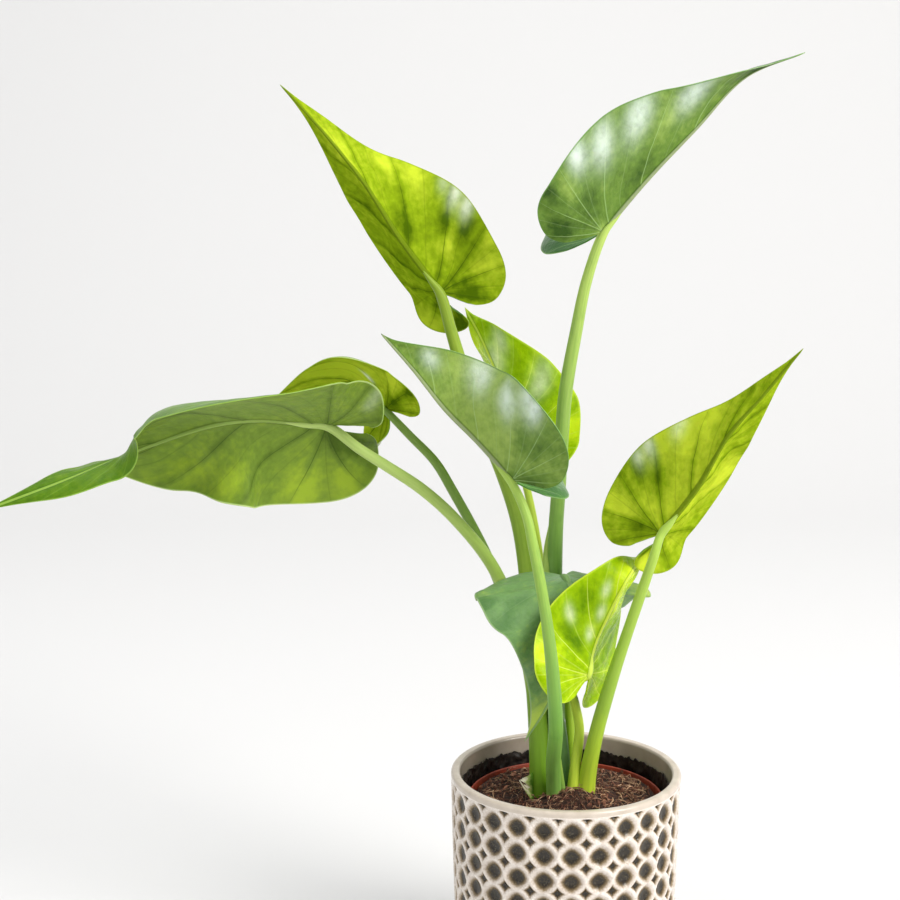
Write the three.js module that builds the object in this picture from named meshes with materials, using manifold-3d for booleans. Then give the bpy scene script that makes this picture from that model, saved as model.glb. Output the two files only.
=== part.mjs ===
// A potted Chinese taro: nine heart-shaped leaves on long stalks, rooted in coir in a thin nursery
// pot, which stands on a film liner inside a glazed cachepot with a raised net round its wall.
// Sizes are in millimetres. +Z is up, -Y is the front, and the origin is the middle of the foot.

import * as THREE from "three";
import { mergeVertices } from "three/addons/utils/BufferGeometryUtils.js";
import Module from "manifold-3d";

const wasm = await Module();
wasm.setup();

// Driving dimensions

const CLEARANCE = 0.4;

const CACHEPOT = {
  height: 125,
  rimRadius: 65,
  footRadius: 62,
  wall: 5.3,
  floor: 7,
  footBevel: 1.5,
  rimRound: 1.8,
  bowlCorner: 5,
};

const NET = {
  cellsRound: 26,
  cellRows: 8,
  cellHeight: 14.5,
  top: 120.8,
  margin: 1.4,
  bowlDepth: 2.1,
  starDepth: 1.7,
  ridgeBow: 0.707,
};

const LINER = {
  film: 0.8,
  topBelowRim: 8.5,
  raggedEdge: 1.1,
  folds: 26,
  foldDepth: 0.9,
  footCorner: 6.5,
  footTuck: 1,
};

const NURSERY_POT = {
  rimRadius: 55.2,
  rimBelowCachepot: 15.5,
  lipHeight: 9,
  lipStep: 1.6,
  wall: 1.2,
  baseRadius: 42,
  drainHoles: 6,
  drainRadius: 4,
  drainCircle: 28,
  sides: 40,
  drainSides: 12,
};

const SOIL = {
  belowNurseryRim: 3,
  mound: { x: 3, y: -10, height: 8, spread: 13 },
  hollow: { x: -29, y: -10, height: -3.5, spread: 9 },
  crumb: 0.7,
  ringShares: [0.86, 0.7, 0.54, 0.4, 0.26, 0.12],
  columns: 40,
};

const BLADE = {
  thickness: 0.8,
  ribHeight: 1.2,
  ribShare: 0.05,
  ribStart: 0.06,
  outlineSteps: 20,
  acrossSteps: 4,
  frameSteps: 60,
  leastStep: 2,
};

const STALK = { sides: 8, steps: 14, wingSteps: 8, tipLength: 6, tipGap: 1.3 };

// The half outline of a blade, from the sinus at the stalk, round the basal lobe, to the tip.
// x runs along the midrib as a share of the blade's length, y across it as a share of its half width.
const HALF_OUTLINE = [
  [0, 0],
  [-0.05, 0.08],
  [-0.14, 0.24],
  [-0.19, 0.48],
  [-0.16, 0.75],
  [-0.05, 0.94],
  [0.1, 1],
  [0.28, 0.9],
  [0.46, 0.66],
  [0.63, 0.4],
  [0.78, 0.19],
  [0.9, 0.06],
  [1, 0],
];
const LOBE_SHARE = 0.19;
const FAN_END = 0.1;
const FAN_EASE = 1.15;
const SINUS_END = 1 / 6;

// Colours and finish of each material
const FINISH = {
  glaze: { color: 0xcbbdaa, roughness: 0.25 },
  film: { color: 0x17130f, roughness: 0.45 },
  terracottaPlastic: { color: 0x9c3f26, roughness: 0.5 },
  coir: { color: 0x5a3424, roughness: 0.95 },
  oldLeaf: { color: 0x4c7a3a, roughness: 0.4 },
  midLeaf: { color: 0x6f9a3c, roughness: 0.4 },
  limeLeaf: { color: 0x9cc417, roughness: 0.35 },
  stalk: { color: 0x8db548, roughness: 0.45 },
  darkStalk: { color: 0x4f8a3a, roughness: 0.45 },
};

// Each leaf: where its midrib runs, from the stalk to the tip, which way its upper face looks at the
// stalk, and how it is folded, curled and rolled. Angles are degrees. fold and curl run from the
// lobes to the stalk, the middle and the tip, roll from the stalk to the tip, and positive ones turn
// a half towards the upper face. stalk.route runs from the soil up to the blade.
const LEAVES = {
  left_high: {
    finish: "midLeaf",
    midrib: [[-71, 18, 394], [-93, 14, 424], [-112, 12, 454], [-135, 18, 482], [-157, 21, 506]],
    facing: [0.05, 0.95, 0.3],
    halfWidth: 55,
    lobeDrop: { left: -5, right: 8 },
    fold: { left: [47, 49, 68, 60], right: [112, 55, 57, 50] },
    curl: { left: [9, 14, -27, 18], right: [-160, 5, -24, 14] },
    roll: [0, -7, 6, -7],
    stalk: {
      finish: "stalk",
      route: [[-14, 1, 90], [-14, 1, 110], [-16, 7, 152], [-18, 14, 179], [-20, 23, 207], [-22, 30, 236],
        [-27, 30, 264], [-37, 25, 295], [-46, 20, 317], [-55, 18, 340], [-65, 17, 373]],
      radii: [5.2, 5.2, 4.4, 2.8],
    },
  },
  right_high: {
    finish: "oldLeaf",
    midrib: [[17, 11, 428], [41, 14, 456], [67, 17, 483], [93, 19, 510], [124, 16, 523]],
    facing: [-0.73, 0.11, 0.67],
    halfWidth: 59,
    lobeDrop: { left: 3, right: -16 },
    fold: { left: [49, 19, 22, -3], right: [45, 44, 44, -9] },
    curl: { left: [-50, 22, 25, -15], right: [2, -6, 28, -15] },
    roll: [0, 2, 1, -3],
    stalk: {
      finish: "darkStalk",
      route: [[-4, 12, 90], [-4, 12, 110], [-5, 20, 180], [-6, 27, 225], [-6, 21, 260], [-5, 13, 287],
        [-4, 11, 311], [-2, 11, 340], [3, 12, 371], [9, 12, 402]],
      radii: [4.6, 4.4, 3.8, 2.6],
      wing: {
        route: [[-9, 12, 90], [-9, 15, 130], [-10.6, 21, 190], [-10.4, 26, 240]],
        point: [-8, 26, 272],
        radii: [1.6, 2, 3.2, 2],
      },
    },
  },
  middle_back: {
    finish: "limeLeaf",
    midrib: [[-29, 50, 299], [-34, 53, 321], [-39, 54, 341], [-47, 60, 361], [-57, 77, 378]],
    facing: [-0.68, -0.71, 0.2],
    halfWidth: 51,
    lobeDrop: { left: -4, right: -6 },
    fold: { left: [-63, -46, -42, -16], right: [18, 22, -24, 10] },
    curl: { left: [58, 16, 3, 1], right: [-14, -44, -2, 3] },
    roll: [0, 1, -1, 33],
    stalk: {
      finish: "stalk",
      route: [[5, 14, 90], [5, 14, 110], [3, 23, 150], [-3, 33, 178], [-11, 40, 214], [-15, 46, 244],
        [-21, 51, 275]],
      radii: [3, 2.8, 2.4, 2],
    },
  },
  right_mid: {
    finish: "midLeaf",
    midrib: [[48, -27, 269], [67, -29, 295], [82, -33, 324], [101, -33, 347], [120, -33, 371]],
    facing: [0.07, 0.97, 0.23],
    halfWidth: 49,
    lobeDrop: { left: 10, right: -1 },
    fold: { left: [110, 60, 57, 52], right: [57, 55, 72, 48] },
    curl: { left: [-165, -6, -33, 2], right: [-6, 1, -22, 2] },
    roll: [0, 10, -6, 10],
    stalk: {
      finish: "stalk",
      route: [[10.3, -3.5, 90], [11, -4, 114], [16, -10, 149], [23, -17, 181], [31, -24, 212], [39, -30, 241],
        [44, -32, 258]],
      radii: [4, 3.8, 3, 2.2],
    },
  },
  middle_front: {
    finish: "oldLeaf",
    midrib: [[-33, -46, 303], [-50, -39, 321], [-68, -38, 339], [-84, -53, 362], [-100, -82, 386]],
    facing: [0.79, 0.23, 0.56],
    halfWidth: 54,
    lobeDrop: { left: -16, right: 3 },
    fold: { left: [31, 37, 79, 66], right: [60, 29, 39, 43] },
    curl: { left: [8, -8, -23, 0], right: [-63, 18, -24, 0] },
    roll: [0, -14, 9, 25],
    stalk: {
      finish: "darkStalk",
      route: [[-7, -8, 90], [-7, -8, 112], [-8, -18, 136], [-8, -38, 163], [-10, -50, 190],
        [-13, -56, 218], [-17, -58, 244], [-22, -56, 270], [-26, -53, 287]],
      radii: [4.4, 4, 3, 2.2],
      wing: {
        route: [[-1.8, -7, 90], [-1.8, -7, 108], [-3, -9, 120], [-4.5, -13, 132]],
        point: [-5, -18, 143],
        radii: [2.2, 2.2, 1.8, 1],
      },
    },
  },
  low_right: {
    finish: "limeLeaf",
    midrib: [[11, -19, 187], [14, -16, 201], [23, -18, 224], [32, -13, 240], [43, 18, 246]],
    facing: [0.55, -0.72, 0.42],
    halfWidth: 40,
    lobeDrop: { left: -11, right: -8 },
    fold: { left: [20, 16, -31, 8], right: [-72, -43, -40, -30] },
    curl: { left: [-22, -25, 7, -6], right: [78, 18, -6, 1] },
    roll: [0, 2, 1, -40],
    stalk: {
      finish: "stalk",
      route: [[3.5, -6, 90], [3.5, -6, 110], [5, -4, 128], [7.5, 1, 148], [5, 1, 163], [2, -6, 177]],
      radii: [2.6, 2.6, 2.4, 2],
    },
  },
  left_long: {
    finish: "midLeaf",
    midrib: [[-132, -17, 327], [-178, -27, 331], [-230, -7, 313], [-270, -26, 299], [-316, -34, 283]],
    facing: [0.04, 0.89, 0.45],
    halfWidth: 54,
    lobeDrop: { left: 64, right: -62 },
    fold: { left: [-29, -37, 21, -30], right: [3, -3, -2, 3] },
    curl: { left: [45, 22, -147, -9], right: [-45, -4, -113, -6] },
    roll: [0, -4, -2, -21, -79, -100, -124],
    stalk: {
      finish: "stalk",
      route: [[-15, 12, 90], [-15, 12, 110], [-16, 19, 144], [-21, 26, 180], [-29, 28, 208], [-42, 21, 239],
        [-63, 4, 270], [-81, -6, 289], [-100, -15, 304], [-114, -19, 314]],
      radii: [3.9, 3.8, 3.2, 2.5],
    },
  },
  left_back: {
    finish: "midLeaf",
    midrib: [[-101, 28, 327], [-120, 39, 340], [-151, 50, 328], [-161, 52, 320], [-194, 64, 301]],
    facing: [-0.29, 0.67, 0.68],
    halfWidth: 38,
    lobeDrop: { left: 8, right: 67 },
    fold: { left: [13, 10, 3, 11], right: [-53, -25, 15, 12] },
    curl: { left: [-27, -31, -53, -16], right: [66, 36, 36, -14] },
    roll: [0, -17, -26, -16],
    stalk: {
      finish: "darkStalk",
      route: [[-11, 21, 90], [-11, 21, 110], [-13, 29, 145], [-23, 37, 184], [-31, 39, 207], [-46, 37, 244],
        [-64, 29, 280], [-74, 24, 298], [-88, 19, 314]],
      radii: [3.6, 3.2, 2.8, 2.1],
    },
  },
  low_middle: {
    finish: "oldLeaf",
    midrib: [[-2, 4, 237], [1, -5, 234], [2, -10, 222], [1, -13, 204], [-5, -15, 184], [-13, -17, 166],
      [-24, -15, 147]],
    facing: [0, 0.02, 1],
    halfWidth: 54,
    lobeDrop: { left: 22, right: 22 },
    fold: { left: [-18, -13, -64, -61], right: [-6, -8, 0, -1] },
    curl: { left: [0, 0, 0, 0], right: [-18, -1, 5, 6] },
    roll: [0, -2, -3, 3],
    stalk: {
      finish: "stalk",
      route: [[0, 1, 90], [0, 2, 113], [-2, 6, 141], [-7, 8, 170], [-9, 9, 196], [-5, 9, 220]],
      radii: [4, 3.2, 2.6, 2.2],
    },
  },
};

// Shared shape helpers

const radians = THREE.MathUtils.degToRad;

function smooth(t) {
  const u = THREE.MathUtils.clamp(t, 0, 1);
  return u * u * (3 - 2 * u);
}

// A value that passes smoothly through the list's entries as t goes from 0 to 1.
function through(list, t) {
  const place = THREE.MathUtils.clamp(t, 0, 1) * (list.length - 1);
  const first = Math.min(Math.floor(place), list.length - 2);
  return THREE.MathUtils.lerp(list[first], list[first + 1], smooth(place - first));
}

function bump({ x, y, height, spread }, px, py) {
  return height * Math.exp(-((px - x) ** 2 + (py - y) ** 2) / (2 * spread ** 2));
}

function geometryOf(points, triangles) {
  const flat = points.flatMap((p) => [p.x, p.y, p.z]);
  const geometry = new THREE.BufferGeometry();
  geometry.setAttribute("position", new THREE.Float32BufferAttribute(flat, 3));
  geometry.setIndex(triangles);
  return geometry;
}

function solidOf(geometry) {
  const bare = geometry.clone();
  bare.deleteAttribute("normal");
  bare.deleteAttribute("uv");
  const merged = mergeVertices(bare, 1e-4);
  const mesh = new wasm.Mesh({
    numProp: 3,
    vertProperties: new Float32Array(merged.attributes.position.array),
    triVerts: new Uint32Array(merged.index.array),
  });
  return new wasm.Manifold(mesh);
}

function geometryFrom(solid) {
  const mesh = solid.getMesh();
  const position = new Float32Array(mesh.numVert * 3);
  for (let i = 0; i < mesh.numVert; i++) {
    position.set(mesh.vertProperties.subarray(i * mesh.numProp, i * mesh.numProp + 3), i * 3);
  }
  const geometry = new THREE.BufferGeometry();
  geometry.setAttribute("position", new THREE.BufferAttribute(position, 3));
  geometry.setIndex(new THREE.BufferAttribute(new Uint32Array(mesh.triVerts), 1));
  return geometry;
}

function largestBody(solid) {
  return solid.decompose().reduce((a, b) => (b.volume() > a.volume() ? b : a));
}

// A blade's curved frame: the point on the midrib line, and the along, left and up directions.
function bladeFrames(leaf) {
  const midrib = new THREE.CatmullRomCurve3(leaf.midrib.map((p) => new THREE.Vector3(...p)));
  const length = midrib.getLength();
  const steps = BLADE.frameSteps;
  const frames = [];
  let up = new THREE.Vector3(...leaf.facing);
  for (let i = 0; i <= steps; i++) {
    const along = midrib.getTangentAt(i / steps);
    up = up.clone().addScaledVector(along, -up.dot(along)).normalize();
    frames.push({ point: midrib.getPointAt(i / steps), along, up });
  }

  const frameAt = (share, half) => {
    if (share < 0) {
      const { point, along, up: normal } = frames[0];
      const drop = radians(leaf.lobeDrop[half]);
      const back = -share * length;
      const bend = drop / (LOBE_SHARE * length);
      const turn = bend * back;
      const run = Math.abs(bend) < 1e-6 ? back : Math.sin(turn) / bend;
      const fall = Math.abs(bend) < 1e-6 ? 0 : (1 - Math.cos(turn)) / bend;
      const base = point.clone().addScaledVector(along, -run).addScaledVector(normal, -fall);
      const alongHere = along.clone().multiplyScalar(Math.cos(turn)).addScaledVector(normal, Math.sin(turn));
      const upHere = normal.clone().multiplyScalar(Math.cos(turn)).addScaledVector(along, -Math.sin(turn));
      const leftHere = new THREE.Vector3().crossVectors(upHere, alongHere);
      return { point: base, left: leftHere, up: upHere, along: alongHere };
    }
    const place = Math.min(share, 1) * steps;
    const first = Math.min(Math.floor(place), steps - 1);
    const mix = place - first;
    const a = frames[first];
    const b = frames[first + 1];
    const point = a.point.clone().lerp(b.point, mix);
    const along = a.along.clone().lerp(b.along, mix).normalize();
    const plain = a.up.clone().lerp(b.up, mix);
    plain.addScaledVector(along, -plain.dot(along)).normalize();
    const upHere = plain.applyAxisAngle(along, radians(through(leaf.roll, share)));
    const leftHere = new THREE.Vector3().crossVectors(upHere, along);
    return { point, left: leftHere, up: upHere, along };
  };
  return { frameAt, length };
}

// Where a flat blade point lies on the folded and curled leaf. side is 1 for the left half and -1
// for the right, share runs along the midrib and across is from 0 at the midrib to 1 at full width.
function bladePoint(leaf, frameAt, side, share, across) {
  const half = side > 0 ? "left" : "right";
  const frame = frameAt(share, half);
  const station = share < 0 ? (1 + Math.max(share / LOBE_SHARE, -1)) / 3 : (1 + 2 * share) / 3;
  const fold = radians(through(leaf.fold[half], station));
  const curl = radians(through(leaf.curl[half], station));
  const turn = curl * across;
  const near = Math.abs(curl) < 1e-3;
  const out = near ? Math.cos(fold) * across : (Math.sin(fold + turn) - Math.sin(fold)) / curl;
  const rise = near ? Math.sin(fold) * across : (Math.cos(fold) - Math.cos(fold + turn)) / curl;
  return frame.point
    .clone()
    .addScaledVector(frame.left, side * out * leaf.halfWidth)
    .addScaledVector(frame.up, rise * leaf.halfWidth);
}

// How far along a row of the given length its point j lies, as a share. The second point marks the
// rib's side. A point too near an end of the row moves onto that end, which keeps thin rows sound.
function spacedShare(j, span) {
  const even = Math.max(0, j - 1) / (BLADE.acrossSteps - 1);
  const share = j === 1 ? BLADE.ribShare : even;
  if (share * span < BLADE.leastStep) return j === BLADE.acrossSteps ? 1 : 0;
  return (1 - share) * span < BLADE.leastStep ? 1 : share;
}

// A blade as a closed thin solid. Both faces share one triangulation, and a rib stands out below.
function bladeGeometry(leaf) {
  const { frameAt, length } = bladeFrames(leaf);
  const outline = new THREE.SplineCurve(HALF_OUTLINE.map((p) => new THREE.Vector2(...p)));
  const points = [];
  const ribs = [];
  const index = new Map();
  const triangles = [];
  const indexOf = (point, rib) => {
    const key = [point.x, point.y, point.z].map((v) => v.toFixed(3)).join();
    if (!index.has(key)) {
      index.set(key, points.length);
      points.push(point);
      ribs.push(rib);
    }
    return index.get(key);
  };
  for (const side of [1, -1]) {
    const grid = [];
    for (let i = 0; i <= BLADE.outlineSteps; i++) {
      const edge = outline.getPoint(THREE.MathUtils.lerp(SINUS_END, 1, i / BLADE.outlineSteps));
      const root = Math.max(0, (edge.x - FAN_END) / (1 - FAN_END)) ** FAN_EASE;
      const span = Math.hypot((edge.x - root) * length, edge.y * leaf.halfWidth);
      const row = [];
      for (let j = 0; j <= BLADE.acrossSteps; j++) {
        const r = spacedShare(j, span);
        const share = THREE.MathUtils.lerp(root, edge.x, r);
        const across = Math.max(edge.y, 0) * r;
        const rib = j === 0 ? Math.min(1, share / BLADE.ribStart) * (1 - share) : 0;
        row.push(indexOf(bladePoint(leaf, frameAt, side, share, across), rib));
      }
      grid.push(row);
    }
    for (let i = 0; i < BLADE.outlineSteps; i++) {
      for (let j = 0; j < BLADE.acrossSteps; j++) {
        const [a, b, c, d] = [grid[i][j], grid[i + 1][j], grid[i + 1][j + 1], grid[i][j + 1]];
        const quad = side > 0 ? [[a, b, c], [a, c, d]] : [[a, c, b], [a, d, c]];
        triangles.push(...quad.filter(([p, q, r]) => p !== q && q !== r && r !== p));
      }
    }
  }
  const sheet = geometryOf(points, triangles.flat());
  sheet.computeVertexNormals();
  const normals = sheet.getAttribute("normal");
  const half = BLADE.thickness / 2;
  const shell = [];
  for (const direction of [-1, 1]) {
    points.forEach((p, i) => {
      const normal = new THREE.Vector3().fromBufferAttribute(normals, i);
      const rib = direction < 0 ? BLADE.ribHeight * ribs[i] : 0;
      shell.push(p.clone().addScaledVector(normal, direction * (half + rib)));
    });
  }
  const n = points.length;
  const faces = triangles.flatMap(([a, b, c]) => [[a, c, b], [a + n, b + n, c + n]]);
  const edges = new Set(triangles.flatMap(([a, b, c]) => [`${a},${b}`, `${b},${c}`, `${c},${a}`]));
  for (const edge of edges) {
    const [a, b] = edge.split(",").map(Number);
    if (!edges.has(`${b},${a}`)) faces.push([a, b, b + n], [a, b + n, a + n]);
  }
  return geometryOf(shell, faces.flat());
}

// A tube along a smooth route, flat at its start and drawn to a point at its end. It is built here
// because its radius tapers, which three's TubeGeometry can't do.
function tubeGeometry(route, point, radii, steps, extra = 0) {
  const path = new THREE.CatmullRomCurve3(route.map((p) => new THREE.Vector3(...p)));
  const frames = path.computeFrenetFrames(steps);
  const points = [];
  const triangles = [];
  for (let i = 0; i <= steps; i++) {
    const middle = path.getPointAt(i / steps);
    const radius = through(radii, i / steps) + extra;
    for (let s = 0; s < STALK.sides; s++) {
      const turn = (2 * Math.PI * s) / STALK.sides;
      const out = frames.normals[i].clone().multiplyScalar(Math.cos(turn) * radius);
      out.addScaledVector(frames.binormals[i], Math.sin(turn) * radius);
      points.push(middle.clone().add(out));
    }
  }
  const first = points.push(path.getPointAt(0)) - 1;
  const last = points.push(new THREE.Vector3(...point)) - 1;
  for (let s = 0; s < STALK.sides; s++) {
    const next = (s + 1) % STALK.sides;
    for (let i = 0; i < steps; i++) {
      const [a, b] = [i * STALK.sides + s, i * STALK.sides + next];
      const [c, d] = [a + STALK.sides, b + STALK.sides];
      triangles.push(a, b, d, a, d, c);
    }
    const top = steps * STALK.sides;
    triangles.push(first, next, s, last, top + s, top + next);
  }
  return geometryOf(points, triangles);
}

// A stalk and its wing if it has one. The stalk's tip points at the root of its blade's midrib.
function stalkSolid(leaf, extra = 0) {
  const { route, radii, wing } = leaf.stalk;
  const root = new THREE.Vector3(...leaf.midrib[0]);
  const back = new THREE.Vector3(...route.at(-1)).sub(root).normalize();
  const neck = root.clone().addScaledVector(back, STALK.tipGap + STALK.tipLength);
  const tip = root.clone().addScaledVector(back, STALK.tipGap);
  const foot = ([x, y, z]) => [x, y, z - extra];
  const line = [foot(route[0]), ...route.slice(1), neck.toArray()];
  let solid = solidOf(tubeGeometry(line, tip.toArray(), radii, STALK.steps, extra));
  if (wing) {
    const wingLine = [foot(wing.route[0]), ...wing.route.slice(1)];
    solid = solid.add(solidOf(tubeGeometry(wingLine, wing.point, wing.radii, STALK.wingSteps, extra)));
  }
  return solid;
}

// Joins rings of points round the axis, in the order foot, outside, rim and inside. A ring is a
// radius and a height, each a number or a function of the column. peaks gives the middle points of
// quads that are split in four.
function turnedGeometry(rings, columns, peaks = () => null) {
  const points = [];
  const at = (value, column) => (typeof value === "function" ? value(column) : value);
  const polar = (radius, column, z) => {
    const turn = (2 * Math.PI * column) / columns;
    return new THREE.Vector3(radius * Math.cos(turn), radius * Math.sin(turn), z);
  };
  const starts = rings.map(([radius, z]) => {
    const count = radius === 0 ? 1 : columns;
    for (let c = 0; c < count; c++) points.push(polar(at(radius, c), c, at(z, c)));
    return { first: points.length - count, count };
  });
  const triangles = [];
  for (let i = 0; i < rings.length - 1; i++) {
    for (let c = 0; c < columns; c++) {
      const pick = ({ first, count }, column) => first + (column % count);
      const a = pick(starts[i], c);
      const b = pick(starts[i], c + 1);
      const d = pick(starts[i + 1], c + 1);
      const e = pick(starts[i + 1], c);
      const peak = peaks(i, c);
      if (peak) {
        const m = points.push(polar(...peak)) - 1;
        triangles.push(a, b, m, b, d, m, d, e, m, e, a, m);
      } else {
        if (a !== b) triangles.push(a, b, d);
        if (d !== e) triangles.push(a, d, e);
      }
    }
  }
  return geometryOf(points, triangles);
}

// Holders

function wallRadius(z) {
  return THREE.MathUtils.lerp(CACHEPOT.footRadius, CACHEPOT.rimRadius, z / CACHEPOT.height);
}

function innerRadius(z) {
  return wallRadius(z) - CACHEPOT.wall;
}

// The net's rings are split at every half cell. Even corners are the stars between the bowls, odd
// ones are the bowls' middles, and the rest lie on the raised ridge.
function cachepotGeometry() {
  const columns = 2 * NET.cellsRound;
  const levels = 2 * NET.cellRows;
  const half = NET.cellHeight / 2;
  const netZ = (level) => NET.top - (levels - level) * half;
  const depth = (level, column) => {
    if (level % 2 !== column % 2) return 0;
    return level % 2 ? NET.bowlDepth : NET.starDepth;
  };
  const { height, footRadius, footBevel, floor, rimRound, bowlCorner } = CACHEPOT;
  const bandBelow = netZ(0) - NET.margin;
  const bandAbove = NET.top + NET.margin;
  const foot = [
    [0, 0],
    [footRadius - footBevel, 0],
    [footRadius, footBevel],
    [wallRadius(bandBelow), bandBelow],
  ];
  const net = [];
  for (let level = 0; level <= levels; level++) {
    net.push([(column) => wallRadius(netZ(level)) - depth(level, column), netZ(level)]);
  }
  const rim = [
    [wallRadius(bandAbove), bandAbove],
    [wallRadius(height) - 0.3 * rimRound, height - 0.4 * rimRound],
    [wallRadius(height) - rimRound, height],
    [innerRadius(height) + rimRound, height],
    [innerRadius(height - rimRound), height - rimRound],
  ];
  const bowl = [
    [innerRadius(floor + bowlCorner), floor + bowlCorner],
    [innerRadius(floor) - bowlCorner, floor],
    [0, floor],
  ];
  const firstNet = foot.length;
  return turnedGeometry([...foot, ...net, ...rim, ...bowl], columns, (ring, column) => {
    const level = ring - firstNet;
    if (level < 0 || level >= levels) return null;
    const bow = NET.ridgeBow;
    const bowlLevel = level % 2 ? level : level + 1;
    const bowlColumn = column % 2 ? column : column + 1;
    const starLevel = level % 2 ? level + 1 : level;
    const starColumn = column % 2 ? column + 1 : column;
    const z = THREE.MathUtils.lerp(netZ(bowlLevel), netZ(starLevel), bow);
    return [wallRadius(z), THREE.MathUtils.lerp(bowlColumn, starColumn, bow), z];
  });
}

// A seeded random draw, so that the ragged edge and the crumb are the same each time.
function seededDraw(seed) {
  let state = seed;
  return () => {
    state = (state * 1664525 + 1013904223) % 4294967296;
    return state / 4294967296;
  };
}

function linerGeometry() {
  const draw = seededDraw(7);
  const columns = 2 * LINER.folds;
  const rag = Array.from({ length: columns }, () => (2 * draw() - 1) * LINER.raggedEdge);
  const top = CACHEPOT.height - LINER.topBelowRim;
  const bottom = CACHEPOT.floor + CLEARANCE;
  const outer = (z) => (column) => innerRadius(z) - CLEARANCE - (column % 2) * LINER.foldDepth;
  const inner = (z) => (column) => outer(z)(column) - LINER.film;
  const middle = (bottom + top) / 2;
  const { footCorner, footTuck } = LINER;
  return turnedGeometry(
    [
      [0, bottom],
      [innerRadius(bottom) - footCorner, bottom],
      [(column) => outer(bottom)(column) - footTuck, bottom + footCorner],
      [outer(middle), middle],
      [outer(top), (column) => top + rag[column]],
      [inner(top), (column) => top + rag[column]],
      [inner(middle), middle],
      [(column) => inner(bottom)(column) - footTuck, bottom + footCorner],
      [innerRadius(bottom) - footCorner - LINER.film, bottom + LINER.film],
      [0, bottom + LINER.film],
    ],
    columns,
  );
}

const NURSERY_BASE = CACHEPOT.floor + LINER.film + 2 * CLEARANCE;
const NURSERY_TOP = CACHEPOT.height - NURSERY_POT.rimBelowCachepot;
const LIP_BASE = NURSERY_TOP - NURSERY_POT.lipHeight;

// The inside radius of the nursery pot's tapered body, which the lip's step widens above.
function nurseryRadius(z) {
  const { baseRadius, rimRadius, lipStep, wall } = NURSERY_POT;
  const share = (z - NURSERY_BASE) / (NURSERY_TOP - NURSERY_BASE);
  return THREE.MathUtils.lerp(baseRadius, rimRadius - lipStep, share) - wall;
}

function nurseryPotGeometry() {
  const { wall, lipStep, rimRadius, sides, drainHoles, drainCircle, drainRadius, drainSides } = NURSERY_POT;
  const body = (z) => nurseryRadius(z) + wall;
  const profile = [
    [0, NURSERY_BASE],
    [body(NURSERY_BASE), NURSERY_BASE],
    [body(LIP_BASE), LIP_BASE],
    [body(LIP_BASE) + lipStep, LIP_BASE],
    [rimRadius, NURSERY_TOP],
    [rimRadius - wall, NURSERY_TOP],
    [nurseryRadius(LIP_BASE + wall) + lipStep, LIP_BASE + wall],
    [nurseryRadius(LIP_BASE + wall), LIP_BASE + wall],
    [nurseryRadius(NURSERY_BASE + wall), NURSERY_BASE + wall],
    [0, NURSERY_BASE + wall],
  ];
  const lathe = new THREE.LatheGeometry(profile.map((p) => new THREE.Vector2(...p)), sides);
  let solid = solidOf(lathe.rotateX(Math.PI / 2));
  for (let i = 0; i < drainHoles; i++) {
    const turn = (2 * Math.PI * i) / drainHoles;
    const drill = new THREE.CylinderGeometry(drainRadius, drainRadius, 4 * wall, drainSides);
    drill.rotateX(Math.PI / 2);
    drill.translate(drainCircle * Math.cos(turn), drainCircle * Math.sin(turn), NURSERY_BASE + wall / 2);
    solid = solid.subtract(solidOf(drill));
  }
  return geometryFrom(solid);
}

// The coir fills the nursery pot to just under its rim. Each stalk stands in a plain hole in it.
function soilGeometry() {
  const draw = seededDraw(3);
  const { columns, ringShares, crumb } = SOIL;
  const top = NURSERY_TOP - SOIL.belowNurseryRim;
  const bottom = NURSERY_BASE + NURSERY_POT.wall + CLEARANCE;
  const wallAt = (z) => nurseryRadius(z) - CLEARANCE;
  const rings = [
    [0, bottom],
    [wallAt(bottom), bottom],
    [wallAt(LIP_BASE), LIP_BASE],
    [wallAt(top), top - crumb],
  ];
  for (const share of ringShares) {
    const radius = wallAt(top) * share;
    rings.push([radius, (column) => {
      const turn = (2 * Math.PI * column) / columns;
      const [x, y] = [radius * Math.cos(turn), radius * Math.sin(turn)];
      return top + crumb * (2 * draw() - 1) + bump(SOIL.mound, x, y) + bump(SOIL.hollow, x, y);
    }]);
  }
  rings.push([0, top + bump(SOIL.mound, 0, 0) + bump(SOIL.hollow, 0, 0)]);
  let solid = solidOf(turnedGeometry(rings, columns));
  for (const leaf of Object.values(LEAVES)) solid = solid.subtract(stalkSolid(leaf, CLEARANCE));
  return geometryFrom(largestBody(solid));
}

// A mesh with its own origin at the given place, so that the piece turns and moves about it.
function named(name, geometry, finish, origin = [0, 0, 0]) {
  const own = geometry.clone().translate(-origin[0], -origin[1], -origin[2]);
  own.computeVertexNormals();
  const mesh = new THREE.Mesh(own, new THREE.MeshStandardMaterial({ ...FINISH[finish], metalness: 0 }));
  mesh.name = name;
  mesh.position.set(...origin);
  return mesh;
}

const holders = new THREE.Group();
holders.add(named("cachepot", cachepotGeometry(), "glaze"));
holders.add(named("liner", linerGeometry(), "film"));
holders.add(named("nursery_pot", nurseryPotGeometry(), "terracottaPlastic"));
holders.add(named("soil", soilGeometry(), "coir"));

const plant = new THREE.Group();
for (const [name, leaf] of Object.entries(LEAVES)) {
  const root = leaf.midrib[0];
  plant.add(named(`blade_${name}`, bladeGeometry(leaf), leaf.finish, root));
  plant.add(named(`stalk_${name}`, geometryFrom(stalkSolid(leaf)), leaf.stalk.finish, root));
}

const pottedPlant = new THREE.Group();
pottedPlant.add(holders, plant);

export default pottedPlant;
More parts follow.
